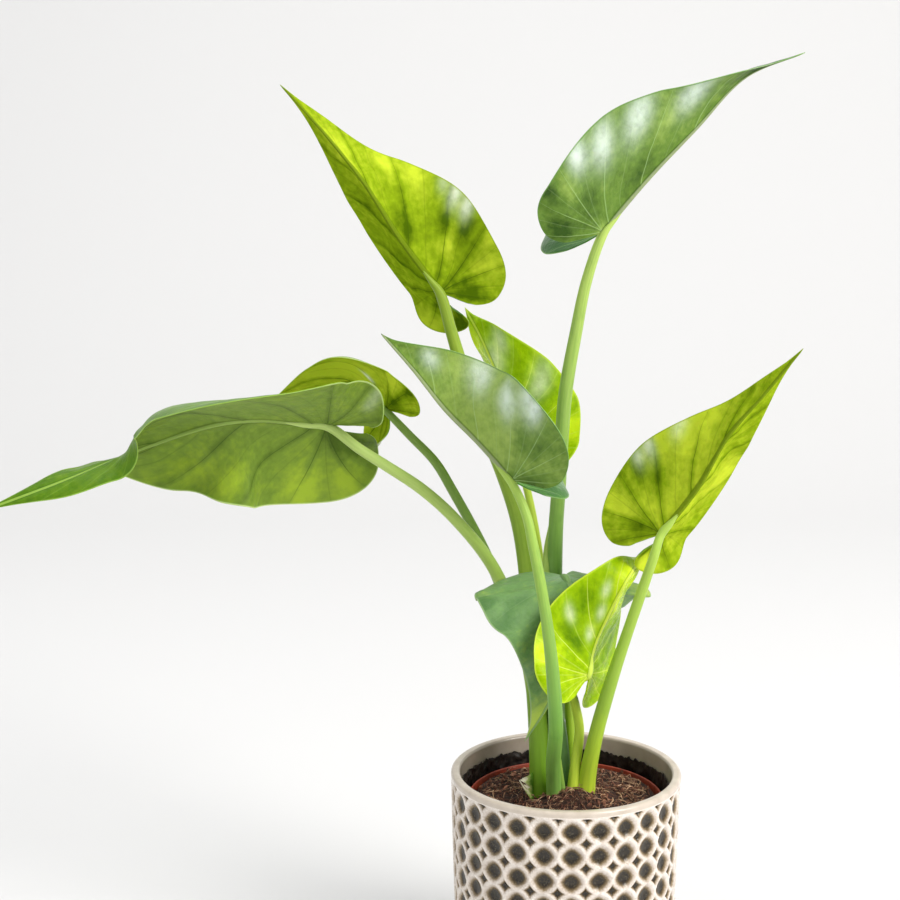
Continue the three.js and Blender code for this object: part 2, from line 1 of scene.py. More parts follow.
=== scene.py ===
# %% [markdown]
# # A potted Chinese taro
# Nine heart-shaped leaves stand on long stalks in a small nursery pot of coir. That pot stands, in a
# film liner, inside a glazed cachepot with a net of dished rings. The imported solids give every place
# and size. This script makes the surfaces that the eye sees, around those solids.

import math

import bpy
import numpy as np
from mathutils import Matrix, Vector, noise


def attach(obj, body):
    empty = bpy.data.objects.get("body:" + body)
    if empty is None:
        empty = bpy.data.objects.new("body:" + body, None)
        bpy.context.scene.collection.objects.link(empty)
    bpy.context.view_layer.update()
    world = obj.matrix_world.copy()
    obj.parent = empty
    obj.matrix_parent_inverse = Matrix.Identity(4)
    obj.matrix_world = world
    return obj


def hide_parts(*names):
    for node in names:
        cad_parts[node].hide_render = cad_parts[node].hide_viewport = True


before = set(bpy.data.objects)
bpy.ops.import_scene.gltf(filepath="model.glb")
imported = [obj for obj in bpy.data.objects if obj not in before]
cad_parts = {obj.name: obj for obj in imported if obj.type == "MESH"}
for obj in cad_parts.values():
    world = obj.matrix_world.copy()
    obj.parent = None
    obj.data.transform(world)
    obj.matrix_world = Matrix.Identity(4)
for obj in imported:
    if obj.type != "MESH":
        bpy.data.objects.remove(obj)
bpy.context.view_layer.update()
MM = 0.001

# %% [markdown]
# ## Two ways to start a mesh
# Pots are turned on a wheel, so their pieces start as a profile: one point is extruded again and again
# along half a section, and Spin turns it round the axis. Leaves and stalks are sheets, so they start
# as a flat grid whose rows can follow the veins, and then each point is moved to its folded place.

# %% Mesh helpers
WELD_REACH = 0.002 * MM


def only(piece):
    """Selects one piece and nothing else."""
    bpy.ops.object.select_all(action="DESELECT")
    piece.select_set(True)
    bpy.context.view_layer.objects.active = piece


def read_vectors(layer, field):
    flat = np.empty(3 * len(layer))
    layer.foreach_get(field, flat)
    return flat.reshape(-1, 3)


def positions(piece):
    return read_vectors(piece.data.vertices, "co")


def move_to(piece, points):
    piece.data.vertices.foreach_set("co", np.asarray(points, dtype=np.float32).ravel())
    piece.data.update()


def paint(piece, name, values):
    """Keeps a number, or a vector, at each point for the materials to read."""
    values = np.asarray(values, dtype=np.float32)
    kind, field = ("FLOAT", "value") if values.ndim == 1 else ("FLOAT_VECTOR", "vector")
    layer = piece.data.attributes.new(name, kind, "POINT")
    layer.data.foreach_set(field, values.ravel())


def painted(piece, name):
    layer = piece.data.attributes[name]
    wide = layer.data_type == "FLOAT_VECTOR"
    values = np.empty(len(piece.data.vertices) * (3 if wide else 1), dtype=np.float32)
    layer.data.foreach_get("vector" if wide else "value", values)
    return values.reshape(-1, 3) if wide else values


def weld(piece, turn_outwards=True):
    """Joins points at the same place, such as the two edges of a rolled sheet, and faces them out."""
    only(piece)
    bpy.ops.object.mode_set(mode="EDIT")
    bpy.ops.mesh.select_all(action="SELECT")
    bpy.ops.mesh.remove_doubles(threshold=WELD_REACH)
    bpy.ops.mesh.dissolve_degenerate(threshold=WELD_REACH)
    if turn_outwards:
        bpy.ops.mesh.normals_make_consistent(inside=False)
    bpy.ops.object.mode_set(mode="OBJECT")


def just_added(name):
    """The piece that the last step added, under its own name."""
    piece = bpy.context.object
    piece.name = name
    piece.data.name = name
    return piece


def thicken(piece, thickness, second_skin=0):
    """Gives a sheet its thickness in millimetres, half to each side. second_skin is how many places
    on in the list of materials the new skin finds its own."""
    shell = piece.modifiers.new("thickness", "SOLIDIFY")
    shell.thickness = thickness * MM
    shell.offset = 0
    shell.material_offset = second_skin
    shell.material_offset_rim = 0
    only(piece)
    bpy.ops.object.modifier_apply(modifier=shell.name)


def flat_grid(name, columns, rows):
    """A flat grid, with each point's place across it and along it from 0 to 1."""
    bpy.ops.object.select_all(action="DESELECT")
    bpy.ops.mesh.primitive_grid_add(x_subdivisions=columns, y_subdivisions=rows, size=1)
    piece = just_added(name)
    flat = positions(piece)
    return piece, flat[:, 0] + 0.5, flat[:, 1] + 0.5


def turned_on_wheel(name, profile, steps):
    """Extrudes one point along a profile of radius and height in millimetres, and spins it round."""
    bpy.ops.object.select_all(action="DESELECT")
    bpy.ops.mesh.primitive_plane_add(size=1)
    piece = just_added(name)
    bpy.ops.object.mode_set(mode="EDIT")
    bpy.ops.mesh.select_all(action="SELECT")
    bpy.ops.mesh.merge(type="CENTER")
    bpy.ops.transform.translate(value=(profile[0][0] * MM, 0, profile[0][1] * MM))
    for (r0, z0), (r1, z1) in zip(profile[:-1], profile[1:]):
        step = ((r1 - r0) * MM, 0, (z1 - z0) * MM)
        bpy.ops.mesh.extrude_vertices_move(TRANSFORM_OT_translate={"value": step})
    bpy.ops.mesh.select_all(action="SELECT")
    bpy.ops.mesh.spin(steps=steps, angle=2 * math.pi, center=(0, 0, 0), axis=(0, 0, 1))
    bpy.ops.object.mode_set(mode="OBJECT")
    weld(piece)
    return piece


def round_the_axis(piece):
    """Each point's turn, radius and height, in millimetres."""
    x, y, z = positions(piece).T / MM
    return np.arctan2(y, x), np.hypot(x, y), z


def place_round(piece, turn, radius, z):
    move_to(piece, np.stack([radius * np.cos(turn), radius * np.sin(turn), z], axis=1) * MM)


def settle(piece, nodes=(), angle=50):
    """Smooths a piece's shading and gives it its place in the object."""
    only(piece)
    bpy.ops.object.shade_smooth_by_angle(angle=math.radians(angle))
    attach(piece, "root")
    if nodes:
        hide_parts(*nodes)
    triangles = sum(len(face.vertices) - 2 for face in piece.data.polygons)
    print(piece.name, triangles, "triangles")


# %% [markdown]
# ## Numbers that change smoothly
# A leaf folds more at its lobes than at its tip, and a stalk is thicker at its foot. Each such value
# is a short list, and the value between two entries follows an S-shaped step.

# %% Number helpers
def smooth(t):
    t = np.clip(t, 0, 1)
    return t * t * (3 - 2 * t)


def through(values, t):
    values = np.asarray(values, dtype=float)
    place = np.clip(t, 0, 1) * (len(values) - 1)
    first = np.minimum(place.astype(int), len(values) - 2)
    return values[first] + (values[first + 1] - values[first]) * smooth(place - first)


def unit(vectors):
    return vectors / np.maximum(np.linalg.norm(vectors, axis=-1, keepdims=True), 1e-12)


def bends(p1, p2, out, into):
    """The square and the cube term of a smooth line that leaves p1 as out says and meets p2 as into
    says."""
    return -3 * p1 + 3 * p2 - 2 * out - into, 2 * p1 - 2 * p2 + out + into


def curve_through(points, steps):
    """Evenly spaced places on a smooth line through the points, the line's direction, and its length.
    The line is a Catmull-Rom curve, like the one that the solids were made with."""
    points = np.asarray(points, dtype=float)
    last = len(points) - 1
    dense = []
    for t in np.linspace(0, last, 40 * last + 1):
        i = min(int(t), last - 1)
        w = t - i
        p1, p2 = points[i], points[i + 1]
        p0 = points[i - 1] if i > 0 else 2 * p1 - p2
        p3 = points[i + 2] if i + 2 <= last else 2 * p2 - p1
        d0, d1, d2 = (max(np.linalg.norm(gap) ** 0.5, 1e-4) for gap in (p1 - p0, p2 - p1, p3 - p2))
        out = ((p1 - p0) / d0 - (p2 - p0) / (d0 + d1) + (p2 - p1) / d1) * d1
        into = ((p2 - p1) / d1 - (p3 - p1) / (d1 + d2) + (p3 - p2) / d2) * d1
        square, cube = bends(p1, p2, out, into)
        dense.append(p1 + out * w + square * w**2 + cube * w**3)
    dense = np.array(dense)
    run = np.r_[0, np.cumsum(np.linalg.norm(np.diff(dense, axis=0), axis=1))]
    even = np.linspace(0, run[-1], steps + 1)
    places = np.stack([np.interp(even, run, dense[:, k]) for k in range(3)], axis=1)
    return places, unit(np.gradient(places, axis=0)), run[-1]


def carried(direction, along):
    """Turns a direction as little as it can while it follows a line."""
    kept = []
    direction = np.asarray(direction, dtype=float)
    for step in along:
        direction = unit(direction - step * np.dot(direction, step))
        kept.append(direction)
    return np.array(kept)


def cloud(points, size, seed=0):
    """Smooth seeded noise from -1 to 1 at points in millimetres, with lumps of the given size."""
    offset = Vector((seed * 7.3, seed * 3.1, seed * 1.7))
    return np.array([noise.noise(Vector(p) / size + offset) for p in points])


# %% [markdown]
# ## Materials from nodes
# Every finish starts from what the real surface is. Its colours are written as sRGB hex values, as on a
# paint card, and one function turns them to the linear values that Blender mixes.

# %% Material helpers
ATTRIBUTE, NOISE, CELLS = "ShaderNodeAttribute", "ShaderNodeTexNoise", "ShaderNodeTexVoronoi"
MATH, RANGE, MIX = "ShaderNodeMath", "ShaderNodeMapRange", "ShaderNodeMix"
RAMP, BUMP, MAPPING = "ShaderNodeValToRGB", "ShaderNodeBump", "ShaderNodeMapping"
SOFT_STEP = {"interpolation_type": "SMOOTHSTEP"}
COLOURS = {"data_type": "RGBA"}
SHARE, UNDER, OVER = 0, 6, 7
MULTIPLY_ADD = {"operation": "MULTIPLY_ADD"}
MULTIPLY = {"operation": "MULTIPLY"}


def paint_colour(code):
    parts = [int(code[i : i + 2], 16) / 255 for i in (1, 3, 5)]
    return tuple(p / 12.92 if p <= 0.04045 else ((p + 0.055) / 1.055) ** 2.4 for p in parts) + (1.0,)


def fill_inputs(tree, node, inputs):
    """Gives sockets their values or links. A node stands for its first output."""
    for name, value in inputs.items():
        if isinstance(value, bpy.types.Node):
            value = next(socket for socket in value.outputs if socket.enabled)
        if isinstance(value, bpy.types.NodeSocket):
            tree.links.new(value, node.inputs[name])
        else:
            node.inputs[name].default_value = value


def add_node(tree, kind, settings=None, inputs=None, stops=()):
    """Adds one node with its settings, its values or links, and a colour ramp's stops."""
    node = tree.nodes.new(kind)
    for name, value in (settings or {}).items():
        setattr(node, name, value)
    fill_inputs(tree, node, inputs or {})
    if stops:
        marks = node.color_ramp.elements
        for mark, (place, code) in ((marks[0], stops[0]), (marks[1], stops[-1])):
            mark.position = place
            mark.color = paint_colour(code)
        for place, code in stops[1:-1]:
            marks.new(place).color = paint_colour(code)
    return node


def new_material(name):
    material = bpy.data.materials.new(name)
    material.use_nodes = True
    tree = material.node_tree
    return material, tree, tree.nodes["Principled BSDF"]


# %% [markdown]
# ## The camera
# The photograph was taken with a longish lens, a little above the leaves and looking slightly down. It
# stands straight in front, left of the pot's middle, because the long leaf reaches out to that side.
# The rim of the cachepot places it. How wide the rim is in the picture gives the distance, and where
# its middle lies gives the rest, so the cachepot's sizes come first.

# %% Camera
CACHEPOT = dict(height=125, rim=65, foot=62, wall=5.3, floor=7, bevel=1.5, round=1.8, corner=5)
LENS_MM, SENSOR_MM = 80.0, 36.0
TILT_DEGREES = 11.7
PICTURE_PIXELS = 900
RIM_MIDDLE_PIXEL = (565.8, 769.3)
RIM_WIDTH_PIXELS = 229.6

tilt = math.radians(TILT_DEGREES)
lens_pixels = LENS_MM / SENSOR_MM * PICTURE_PIXELS
distance = lens_pixels * 2 * CACHEPOT["rim"] / RIM_WIDTH_PIXELS
aside = (RIM_MIDDLE_PIXEL[0] - PICTURE_PIXELS / 2) / lens_pixels * distance
below = (RIM_MIDDLE_PIXEL[1] - PICTURE_PIXELS / 2) / lens_pixels * distance
in_front = distance * math.cos(tilt) - below * math.sin(tilt)
above = CACHEPOT["height"] + distance * math.sin(tilt) + below * math.cos(tilt)
bpy.ops.object.camera_add(
    location=[round(v, 2) * MM for v in (-aside, -in_front, above)],
    rotation=(math.radians(90 - TILT_DEGREES), 0, 0),
)
camera = bpy.context.object
camera.data.lens = LENS_MM
camera.data.sensor_width = SENSOR_MM
camera.data.clip_end = 50.0
bpy.context.scene.camera = camera
print("camera at", [round(v, 3) for v in camera.location])

# %% [markdown]
# ## The cachepot
# It was cast in stoneware from a mould whose wall carries rows of dished rings. Here it is turned on
# the wheel with many points in each ring, and a formula then pushes each outer point in: a round bowl
# in the middle of each cell and a four-pointed hollow where four rings meet.

# %% Net and wall
NET = dict(round=26, rows=8, cell=14.5, top=120.8, bowl=2.7, star=1.9, waver=0.12, points=1.7)
BOWL_EDGE, BOWL_POWER = 0.94, 0.8
STAR_START, STAR_SPAN = 1.02, 0.36
POOL = dict(points=1.5, sag=0.1, edge=1.02, span=0.84, star_start=1.06, star_span=0.38)
STEPS_PER_CELL = 14


def rounded(x, y, points):
    """Distance from the middle of a cell. The fewer points, the more its rings look like diamonds."""
    return (np.abs(x) ** points + np.abs(y) ** points) ** (1 / points)


def wall_radius(z):
    widening = (CACHEPOT["rim"] - CACHEPOT["foot"]) * np.asarray(z, dtype=float)
    return CACHEPOT["foot"] + widening / CACHEPOT["height"]


def inner_radius(z):
    return wall_radius(z) - CACHEPOT["wall"]


def wall_line(radius_at, heights):
    """Profile points that follow a slanted wall."""
    return [(float(radius_at(z)), float(z)) for z in heights]


def arc(middle, radius, start, end, steps):
    """Points on an arc in the radius and height plane, angles in degrees."""
    turns = np.radians(np.linspace(start, end, steps))
    return [(middle[0] + radius * math.cos(t), middle[1] + radius * math.sin(t)) for t in turns]


# %% Cachepot shape
height, bevel, curve, floor = (CACHEPOT[key] for key in ("height", "bevel", "round", "floor"))
net_foot = NET["top"] - NET["rows"] * NET["cell"]
rim_outer, rim_inner = float(wall_radius(height)), float(inner_radius(height))
net_rows = np.linspace(net_foot - 0.4, NET["top"] + 0.4, NET["rows"] * STEPS_PER_CELL + 1)
pot_profile = [(0, 0), (30, 0), (CACHEPOT["foot"] - bevel - 4, 0)]
pot_profile += arc((CACHEPOT["foot"] - bevel, bevel), bevel, -90, 0, 7)
pot_profile += wall_line(wall_radius, np.linspace(bevel + 0.3, net_foot - 0.6, 6))
pot_profile += wall_line(wall_radius, net_rows)
pot_profile += wall_line(wall_radius, np.linspace(NET["top"] + 0.8, height - curve - 0.3, 6))
pot_profile += arc((rim_outer - curve, height - curve), curve, 0, 90, 9)
pot_profile += arc((rim_inner + curve, height - curve), curve, 90, 180, 9)[1:]
pot_profile += wall_line(inner_radius, np.linspace(height - curve - 1, 100, 12))
pot_profile += wall_line(inner_radius, (80, 60, 40, 20, floor + CACHEPOT["corner"]))
pot_profile += [(float(inner_radius(floor)) - CACHEPOT["corner"], floor), (0, floor)]
cachepot = turned_on_wheel("glazed_cachepot", pot_profile, NET["round"] * STEPS_PER_CELL)

turn, radius, z = round_the_axis(cachepot)
cell_u = turn * NET["round"] / (2 * math.pi)
cell_v = (NET["top"] - z) / NET["cell"]
across_cell = 2 * (cell_u - np.floor(cell_u)) - 1
down_cell = 2 * (cell_v - np.floor(cell_v)) - 1
spread = rounded(across_cell, down_cell, NET["points"])
outer = radius > inner_radius(z) + 2
netted = outer & (z > net_foot) & (z < NET["top"])
bowl = np.clip(1 - (spread / BOWL_EDGE) ** 2, 0, 1) ** BOWL_POWER
star = smooth((spread - STAR_START) / STAR_SPAN)
blob = rounded(across_cell, down_cell - POOL["sag"], POOL["points"])
pool_in_bowl = smooth((POOL["edge"] - blob) / POOL["span"])
pool_in_star = smooth((spread - POOL["star_start"]) / POOL["star_span"])
push = np.where(netted, NET["bowl"] * bowl + NET["star"] * star, 0)
waver = NET["waver"] * np.sin(3 * turn + 0.05 * z)
place_round(cachepot, turn, radius - push + np.where(netted, waver, 0), z)
paint(cachepot, "pooled", np.where(netted, np.maximum(pool_in_bowl, pool_in_star), 0))
paint(cachepot, "net", np.where(outer & (z > net_foot - 0.2) & (z < NET["top"] + 0.9), 1.0, 0.0))
paint(cachepot, "inside", np.where(radius < inner_radius(z) + 1.0, 1.0, 0.0))
print("rings on the wall", NET["round"] * NET["rows"])

# %% [markdown]
# ## The reactive glaze
# The glaze runs off the ridges while it melts and pools in the hollows. It is thin and pale on the
# ridges, where the light clay shows through, and thick and nearly black in the bowls, where small
# crystals grow. The hollows' depth is kept at each point, so the colour follows the relief. A thick
# clear glaze is smooth, with an IOR near 1.5 and a low roughness.

# %% Glaze
def reactive_glaze():
    material, tree, surface = new_material("reactive_stoneware_glaze")
    place = add_node(tree, "ShaderNodeTexCoord").outputs["Object"]
    pooled, net, inside = (
        add_node(tree, ATTRIBUTE, {"attribute_name": key}).outputs["Fac"]
        for key in ("pooled", "net", "inside"))
    drift = add_node(tree, NOISE, None, {
        "Vector": place, "Scale": 1000 / 9, "Detail": 3.0, "Roughness": 0.55})
    speckle = add_node(tree, NOISE, None, {"Vector": place, "Scale": 1000 / 0.9, "Detail": 2.0})
    lift = add_node(tree, MATH, MULTIPLY_ADD, {0: drift, 1: 0.30, 2: -0.15})
    pool = add_node(tree, MATH, {"operation": "ADD"}, {0: pooled, 1: lift})
    pool = add_node(tree, MATH, MULTIPLY_ADD, {0: speckle, 1: 0.36, 2: pool})
    band = add_node(tree, RAMP, None, {"Fac": drift}, [(0.3, "#c0b3a4"), (0.7, "#d2c6b8")])
    hollow = add_node(tree, RAMP, None, {"Fac": pool}, [
        (0.1, "#f4ece4"), (0.3, "#d2c5b8"), (0.52, "#8d7a5c"), (0.76, "#4a3b1e"), (1.0, "#1f1605")])
    shown = add_node(tree, MIX, COLOURS, {SHARE: net, UNDER: band, OVER: hollow})
    crystal = add_node(tree, CELLS, {"feature": "F1"}, {"Vector": place, "Scale": 1000 / 0.95})
    speck = add_node(tree, RANGE, SOFT_STEP, {"Value": crystal, "From Min": 0.34, "From Max": 0.1})
    deep = add_node(tree, RANGE, SOFT_STEP, {
        "Value": pool, "From Min": 0.6, "From Max": 1.1, "To Max": 0.5})
    speck = add_node(tree, MATH, MULTIPLY, {0: speck, 1: deep})
    # Painted shade: the inner wall is mixed towards #94867a, for the shade inside the pot.
    shade = add_node(tree, MATH, MULTIPLY, {0: inside, 1: 0.55})
    for share, colour in ((speck, "#8d866a"), (shade, "#94867a")):
        shown = add_node(tree, MIX, COLOURS, {SHARE: share, UNDER: shown, OVER: paint_colour(colour)})
    rough = add_node(tree, RANGE, None, {"Value": speckle, "From Min": 0.3, "From Max": 0.8,
                                         "To Min": 0.16, "To Max": 0.28})
    bump = add_node(tree, BUMP, None, {"Height": speckle, "Strength": 0.12, "Distance": 0.0004})
    fill_inputs(tree, surface, {"Base Color": shown, "Roughness": rough, "Normal": bump, "IOR": 1.52,
                                "Coat Weight": 0.05, "Coat Roughness": 0.1})
    return material


cachepot.data.materials.append(reactive_glaze())
settle(cachepot, ["cachepot"])

# %% [markdown]
# ## The liner
# A thin black film keeps water off the cachepot. It was pushed in by hand, so it is full of small
# creases and its top edge is torn. One sheet is turned, noise moves it in and out and tears its edge,
# and Solidify gives it the thickness of film.

# %% Liner
LINER = dict(film=0.8, below_rim=8.5, rag=2.0, fold=1.1, corner=6.5)
LINER_SKIN_SHARE = 0.6
TORN_ABOVE = 108
CLEARANCE = 0.4
liner_top = height - LINER["below_rim"]
liner_foot = floor + CLEARANCE
liner_profile = [(0, liner_foot), (float(inner_radius(liner_foot)) - LINER["corner"], liner_foot)]
liner_profile += wall_line(inner_radius, (liner_foot + LINER["corner"], 30, 50, 70, 85))
liner_profile += wall_line(inner_radius, np.linspace(94, liner_top, 26))
liner = turned_on_wheel("crinkled_liner", liner_profile, 416)
turn, radius, z = round_the_axis(liner)
round_place = np.stack([np.cos(turn) * 60, np.sin(turn) * 60, z], axis=1)
crease = smooth(1 - np.abs(cloud(round_place * [1, 1, 0.6], 5.5, 1)) * 2.6)
crinkle = (1 + cloud(round_place, 2.4, 2)) / 2
give = LINER["fold"] * (0.6 * crease + 0.4 * crinkle)
edge_place = round_place * [1, 1, 0]
tear = LINER["rag"] * cloud(edge_place, 2.6, 3) + 0.5 * LINER["rag"] * cloud(edge_place, 1.1, 7)
wall_part = z > liner_foot + LINER["corner"] - 0.1
radius = np.where(wall_part, radius - CLEARANCE - LINER["film"] * 0.5 - give, radius)
torn = smooth((z - TORN_ABOVE) / (liner_top - TORN_ABOVE))
place_round(liner, turn, radius, z + torn * (tear - 0.4))
thicken(liner, LINER["film"] * LINER_SKIN_SHARE)


# %% Liner finish
def black_film():
    """Polythene film: black, with a soft shine that its creases break up, and soil dust."""
    material, tree, surface = new_material("black_polythene_film")
    place = add_node(tree, "ShaderNodeTexCoord").outputs["Object"]
    dust = add_node(tree, NOISE, None, {
        "Vector": place, "Scale": 1000 / 3, "Detail": 4.0, "Roughness": 0.6})
    shown = add_node(tree, RAMP, None, {"Fac": dust}, [
        (0.45, "#120f0d"), (0.62, "#2c221c"), (0.78, "#5a4a3f")])
    rough = add_node(tree, RANGE, None, {"Value": dust, "From Min": 0.3, "From Max": 0.7,
                                         "To Min": 0.3, "To Max": 0.6})
    ripple = add_node(tree, NOISE, None, {"Vector": place, "Scale": 1000 / 1.3, "Detail": 2.0})
    bump = add_node(tree, BUMP, None, {"Height": ripple, "Strength": 0.5, "Distance": 0.0005})
    fill_inputs(tree, surface, {"Base Color": shown, "Roughness": rough, "Normal": bump, "IOR": 1.5})
    return material


liner.data.materials.append(black_film())
settle(liner, ["liner"])

# %% [markdown]
# ## The nursery pot
# A thin pot of terracotta-coloured plastic, blown in a mould, with a lip that steps out near its top.
# Only the lip shows. Six holes in its floor drain it, and a Boolean cuts them as a punch would.

# %% Nursery pot
NURSERY = dict(rim=55.2, below_rim=15.5, lip=9, step=1.6, wall=1.2, base=42)
DRAIN = dict(holes=6, radius=4, circle=28)
nursery_base = floor + LINER["film"] + 2 * CLEARANCE
nursery_top = height - NURSERY["below_rim"]
lip_base = nursery_top - NURSERY["lip"]
wall, base = NURSERY["wall"], NURSERY["base"]


def nursery_radius(z):
    """The inside radius of the slanted wall."""
    share = (np.asarray(z, dtype=float) - nursery_base) / (nursery_top - nursery_base)
    return base + (NURSERY["rim"] - NURSERY["step"] - base) * share - wall


body = float(nursery_radius(lip_base)) + wall
inner_lip = float(nursery_radius(lip_base + wall))
nursery_profile = [(0, nursery_base), (30, nursery_base)]
nursery_profile += [(base - 1, nursery_base), (base, nursery_base + 1)]
nursery_profile += [(body, lip_base), (body + 1.2, lip_base), (body + NURSERY["step"], lip_base + 0.4)]
nursery_profile += arc((NURSERY["rim"] - wall / 2, nursery_top - wall / 2), wall / 2, 0, 180, 9)
nursery_profile += [(inner_lip + NURSERY["step"], lip_base + wall), (inner_lip, lip_base + wall)]
nursery_profile += wall_line(nursery_radius, [nursery_base + wall]) + [(0, nursery_base + wall)]
nursery_pot = turned_on_wheel("terracotta_nursery_pot", nursery_profile, 160)
for i in range(DRAIN["holes"]):
    turn = 2 * math.pi * i / DRAIN["holes"]
    bpy.ops.object.select_all(action="DESELECT")
    bpy.ops.mesh.primitive_cylinder_add(
        vertices=24,
        radius=DRAIN["radius"] * MM,
        depth=4 * wall * MM,
        location=(
            DRAIN["circle"] * math.cos(turn) * MM,
            DRAIN["circle"] * math.sin(turn) * MM,
            (nursery_base + wall / 2) * MM,
        ),
    )
    punch = bpy.context.object
    cut = nursery_pot.modifiers.new("drain", "BOOLEAN")
    cut.operation = "DIFFERENCE"
    cut.object = punch
    only(nursery_pot)
    bpy.ops.object.modifier_apply(modifier=cut.name)
    bpy.data.objects.remove(punch)


# %% Nursery pot finish
def terracotta_plastic():
    """Blown polypropylene: evenly coloured and dull, with soil dust on its lip."""
    material, tree, surface = new_material("terracotta_polypropylene")
    place = add_node(tree, "ShaderNodeTexCoord").outputs["Object"]
    dust = add_node(tree, NOISE, None, {
        "Vector": place, "Scale": 1000 / 6, "Detail": 4.0, "Roughness": 0.6})
    shown = add_node(tree, RAMP, None, {"Fac": dust}, [
        (0.35, "#a8432a"), (0.6, "#8f3a26"), (0.8, "#5e2c1e")])
    rough = add_node(tree, RANGE, None, {"Value": dust, "From Min": 0.3, "From Max": 0.7,
                                         "To Min": 0.38, "To Max": 0.6})
    fill_inputs(tree, surface, {"Base Color": shown, "Roughness": rough, "IOR": 1.49})
    return material


nursery_pot.data.materials.append(terracotta_plastic())
settle(nursery_pot, ["nursery_pot"], 35)

# %% [markdown]
# ## The coir
# Coir is chopped coconut husk: brown crumbs and pale fibres. The plug is a solid whose top is lumpy,
# and on it lie loose crumbs and fibres. Each crumb is a copy of one small stone shape that is turned
# and stretched, and each fibre is a thin bent tube, so the mound looks loose from close by too.

# %% Coir plug
SOIL = dict(below_rim=3, mound=(3, -10, 8, 13), hollow=(-29, -10, -3.5, 9), loose=2.0)
soil_top = nursery_top - SOIL["below_rim"]
soil_base = nursery_base + wall + CLEARANCE


def heap(x, y, bump):
    cx, cy, rise, spread_mm = bump
    return rise * np.exp(-((x - cx) ** 2 + (y - cy) ** 2) / (2 * spread_mm**2))


def soil_height(x, y):
    """The coir's top, without its crumb."""
    return soil_top + heap(x, y, SOIL["mound"]) + heap(x, y, SOIL["hollow"])


def soil_wall(z):
    return float(nursery_radius(z)) - CLEARANCE


soil_edge = soil_wall(soil_top)
soil_profile = [(0, soil_base)] + wall_line(soil_wall, (soil_base, lip_base, soil_top - 3))
soil_profile += [(soil_edge, soil_top - 0.8)]
soil_profile += [(soil_edge * share, soil_top) for share in np.linspace(0.985, 0, 90)]
soil = turned_on_wheel("coir_plug", soil_profile, 240)
turn, radius, z = round_the_axis(soil)
x, y = radius * np.cos(turn), radius * np.sin(turn)
flat_place = np.stack([x, y, 0 * x], axis=1)
crumb = 0.7 * cloud(flat_place, 6, 4) + 0.7 * cloud(flat_place, 2.6, 5) + 0.3 * cloud(flat_place, 1.2, 6)
crumb *= smooth((soil_edge - radius) / 3)
on_top = z > soil_top - 0.1
place_round(soil, turn, radius, np.where(on_top, soil_height(x, y) + SOIL["loose"] + crumb, z))


# %% Crumbs and fibres
LOOSE = np.random.default_rng(11)


def scattered(count, reach):
    """Random places on the coir, evenly spread over its disc."""
    turn = LOOSE.uniform(0, 2 * math.pi, count)
    radius = reach * np.sqrt(LOOSE.uniform(0, 1, count))
    x, y = radius * np.cos(turn), radius * np.sin(turn)
    return x, y, soil_height(x, y) + SOIL["loose"] + 0.5


def copies(name, base, faces, placed, tones):
    """One mesh from many moved copies of a small shape, each with its own tone."""
    count = len(base)
    points = np.concatenate(placed)
    corners = np.concatenate([faces + count * i for i in range(len(placed))])
    mesh = bpy.data.meshes.new(name)
    mesh.from_pydata((points * MM).tolist(), [], corners.tolist())
    piece = bpy.data.objects.new(name, mesh)
    bpy.context.collection.objects.link(piece)
    paint(piece, "tone", np.repeat(tones, count))
    return piece


def turned(points, angles):
    """Points turned about the three axes in turn."""
    for axis, angle in enumerate(angles):
        a, b = [k for k in range(3) if k != axis]
        c, s = math.cos(angle), math.sin(angle)
        moved = points.copy()
        moved[:, a] = points[:, a] * c - points[:, b] * s
        moved[:, b] = points[:, a] * s + points[:, b] * c
        points = moved
    return points


bpy.ops.object.select_all(action="DESELECT")
bpy.ops.mesh.primitive_ico_sphere_add(subdivisions=2, radius=1)
stone = bpy.context.object
stone_points = positions(stone)
stone_faces = np.array([list(face.vertices) for face in stone.data.polygons])
bpy.data.objects.remove(stone)
stone_points *= (1 + 0.45 * cloud(stone_points * 2, 1.3, 8))[:, None]
CRUMBS = 560
xs, ys, zs = scattered(CRUMBS, 50)
placed = []
for i in range(CRUMBS):
    size = LOOSE.uniform(0.7, 1.1) + 1.5 * LOOSE.uniform(0, 1) ** 3
    size = size * np.array([1, LOOSE.uniform(0.25, 0.6), LOOSE.uniform(0.15, 0.45)])
    placed.append(turned(stone_points * size, LOOSE.uniform(0, 6.28, 3)) + [xs[i], ys[i], zs[i] + 0.1])
crumbs = copies("coir_crumbs", stone_points, stone_faces, placed, LOOSE.uniform(0, 1, CRUMBS))

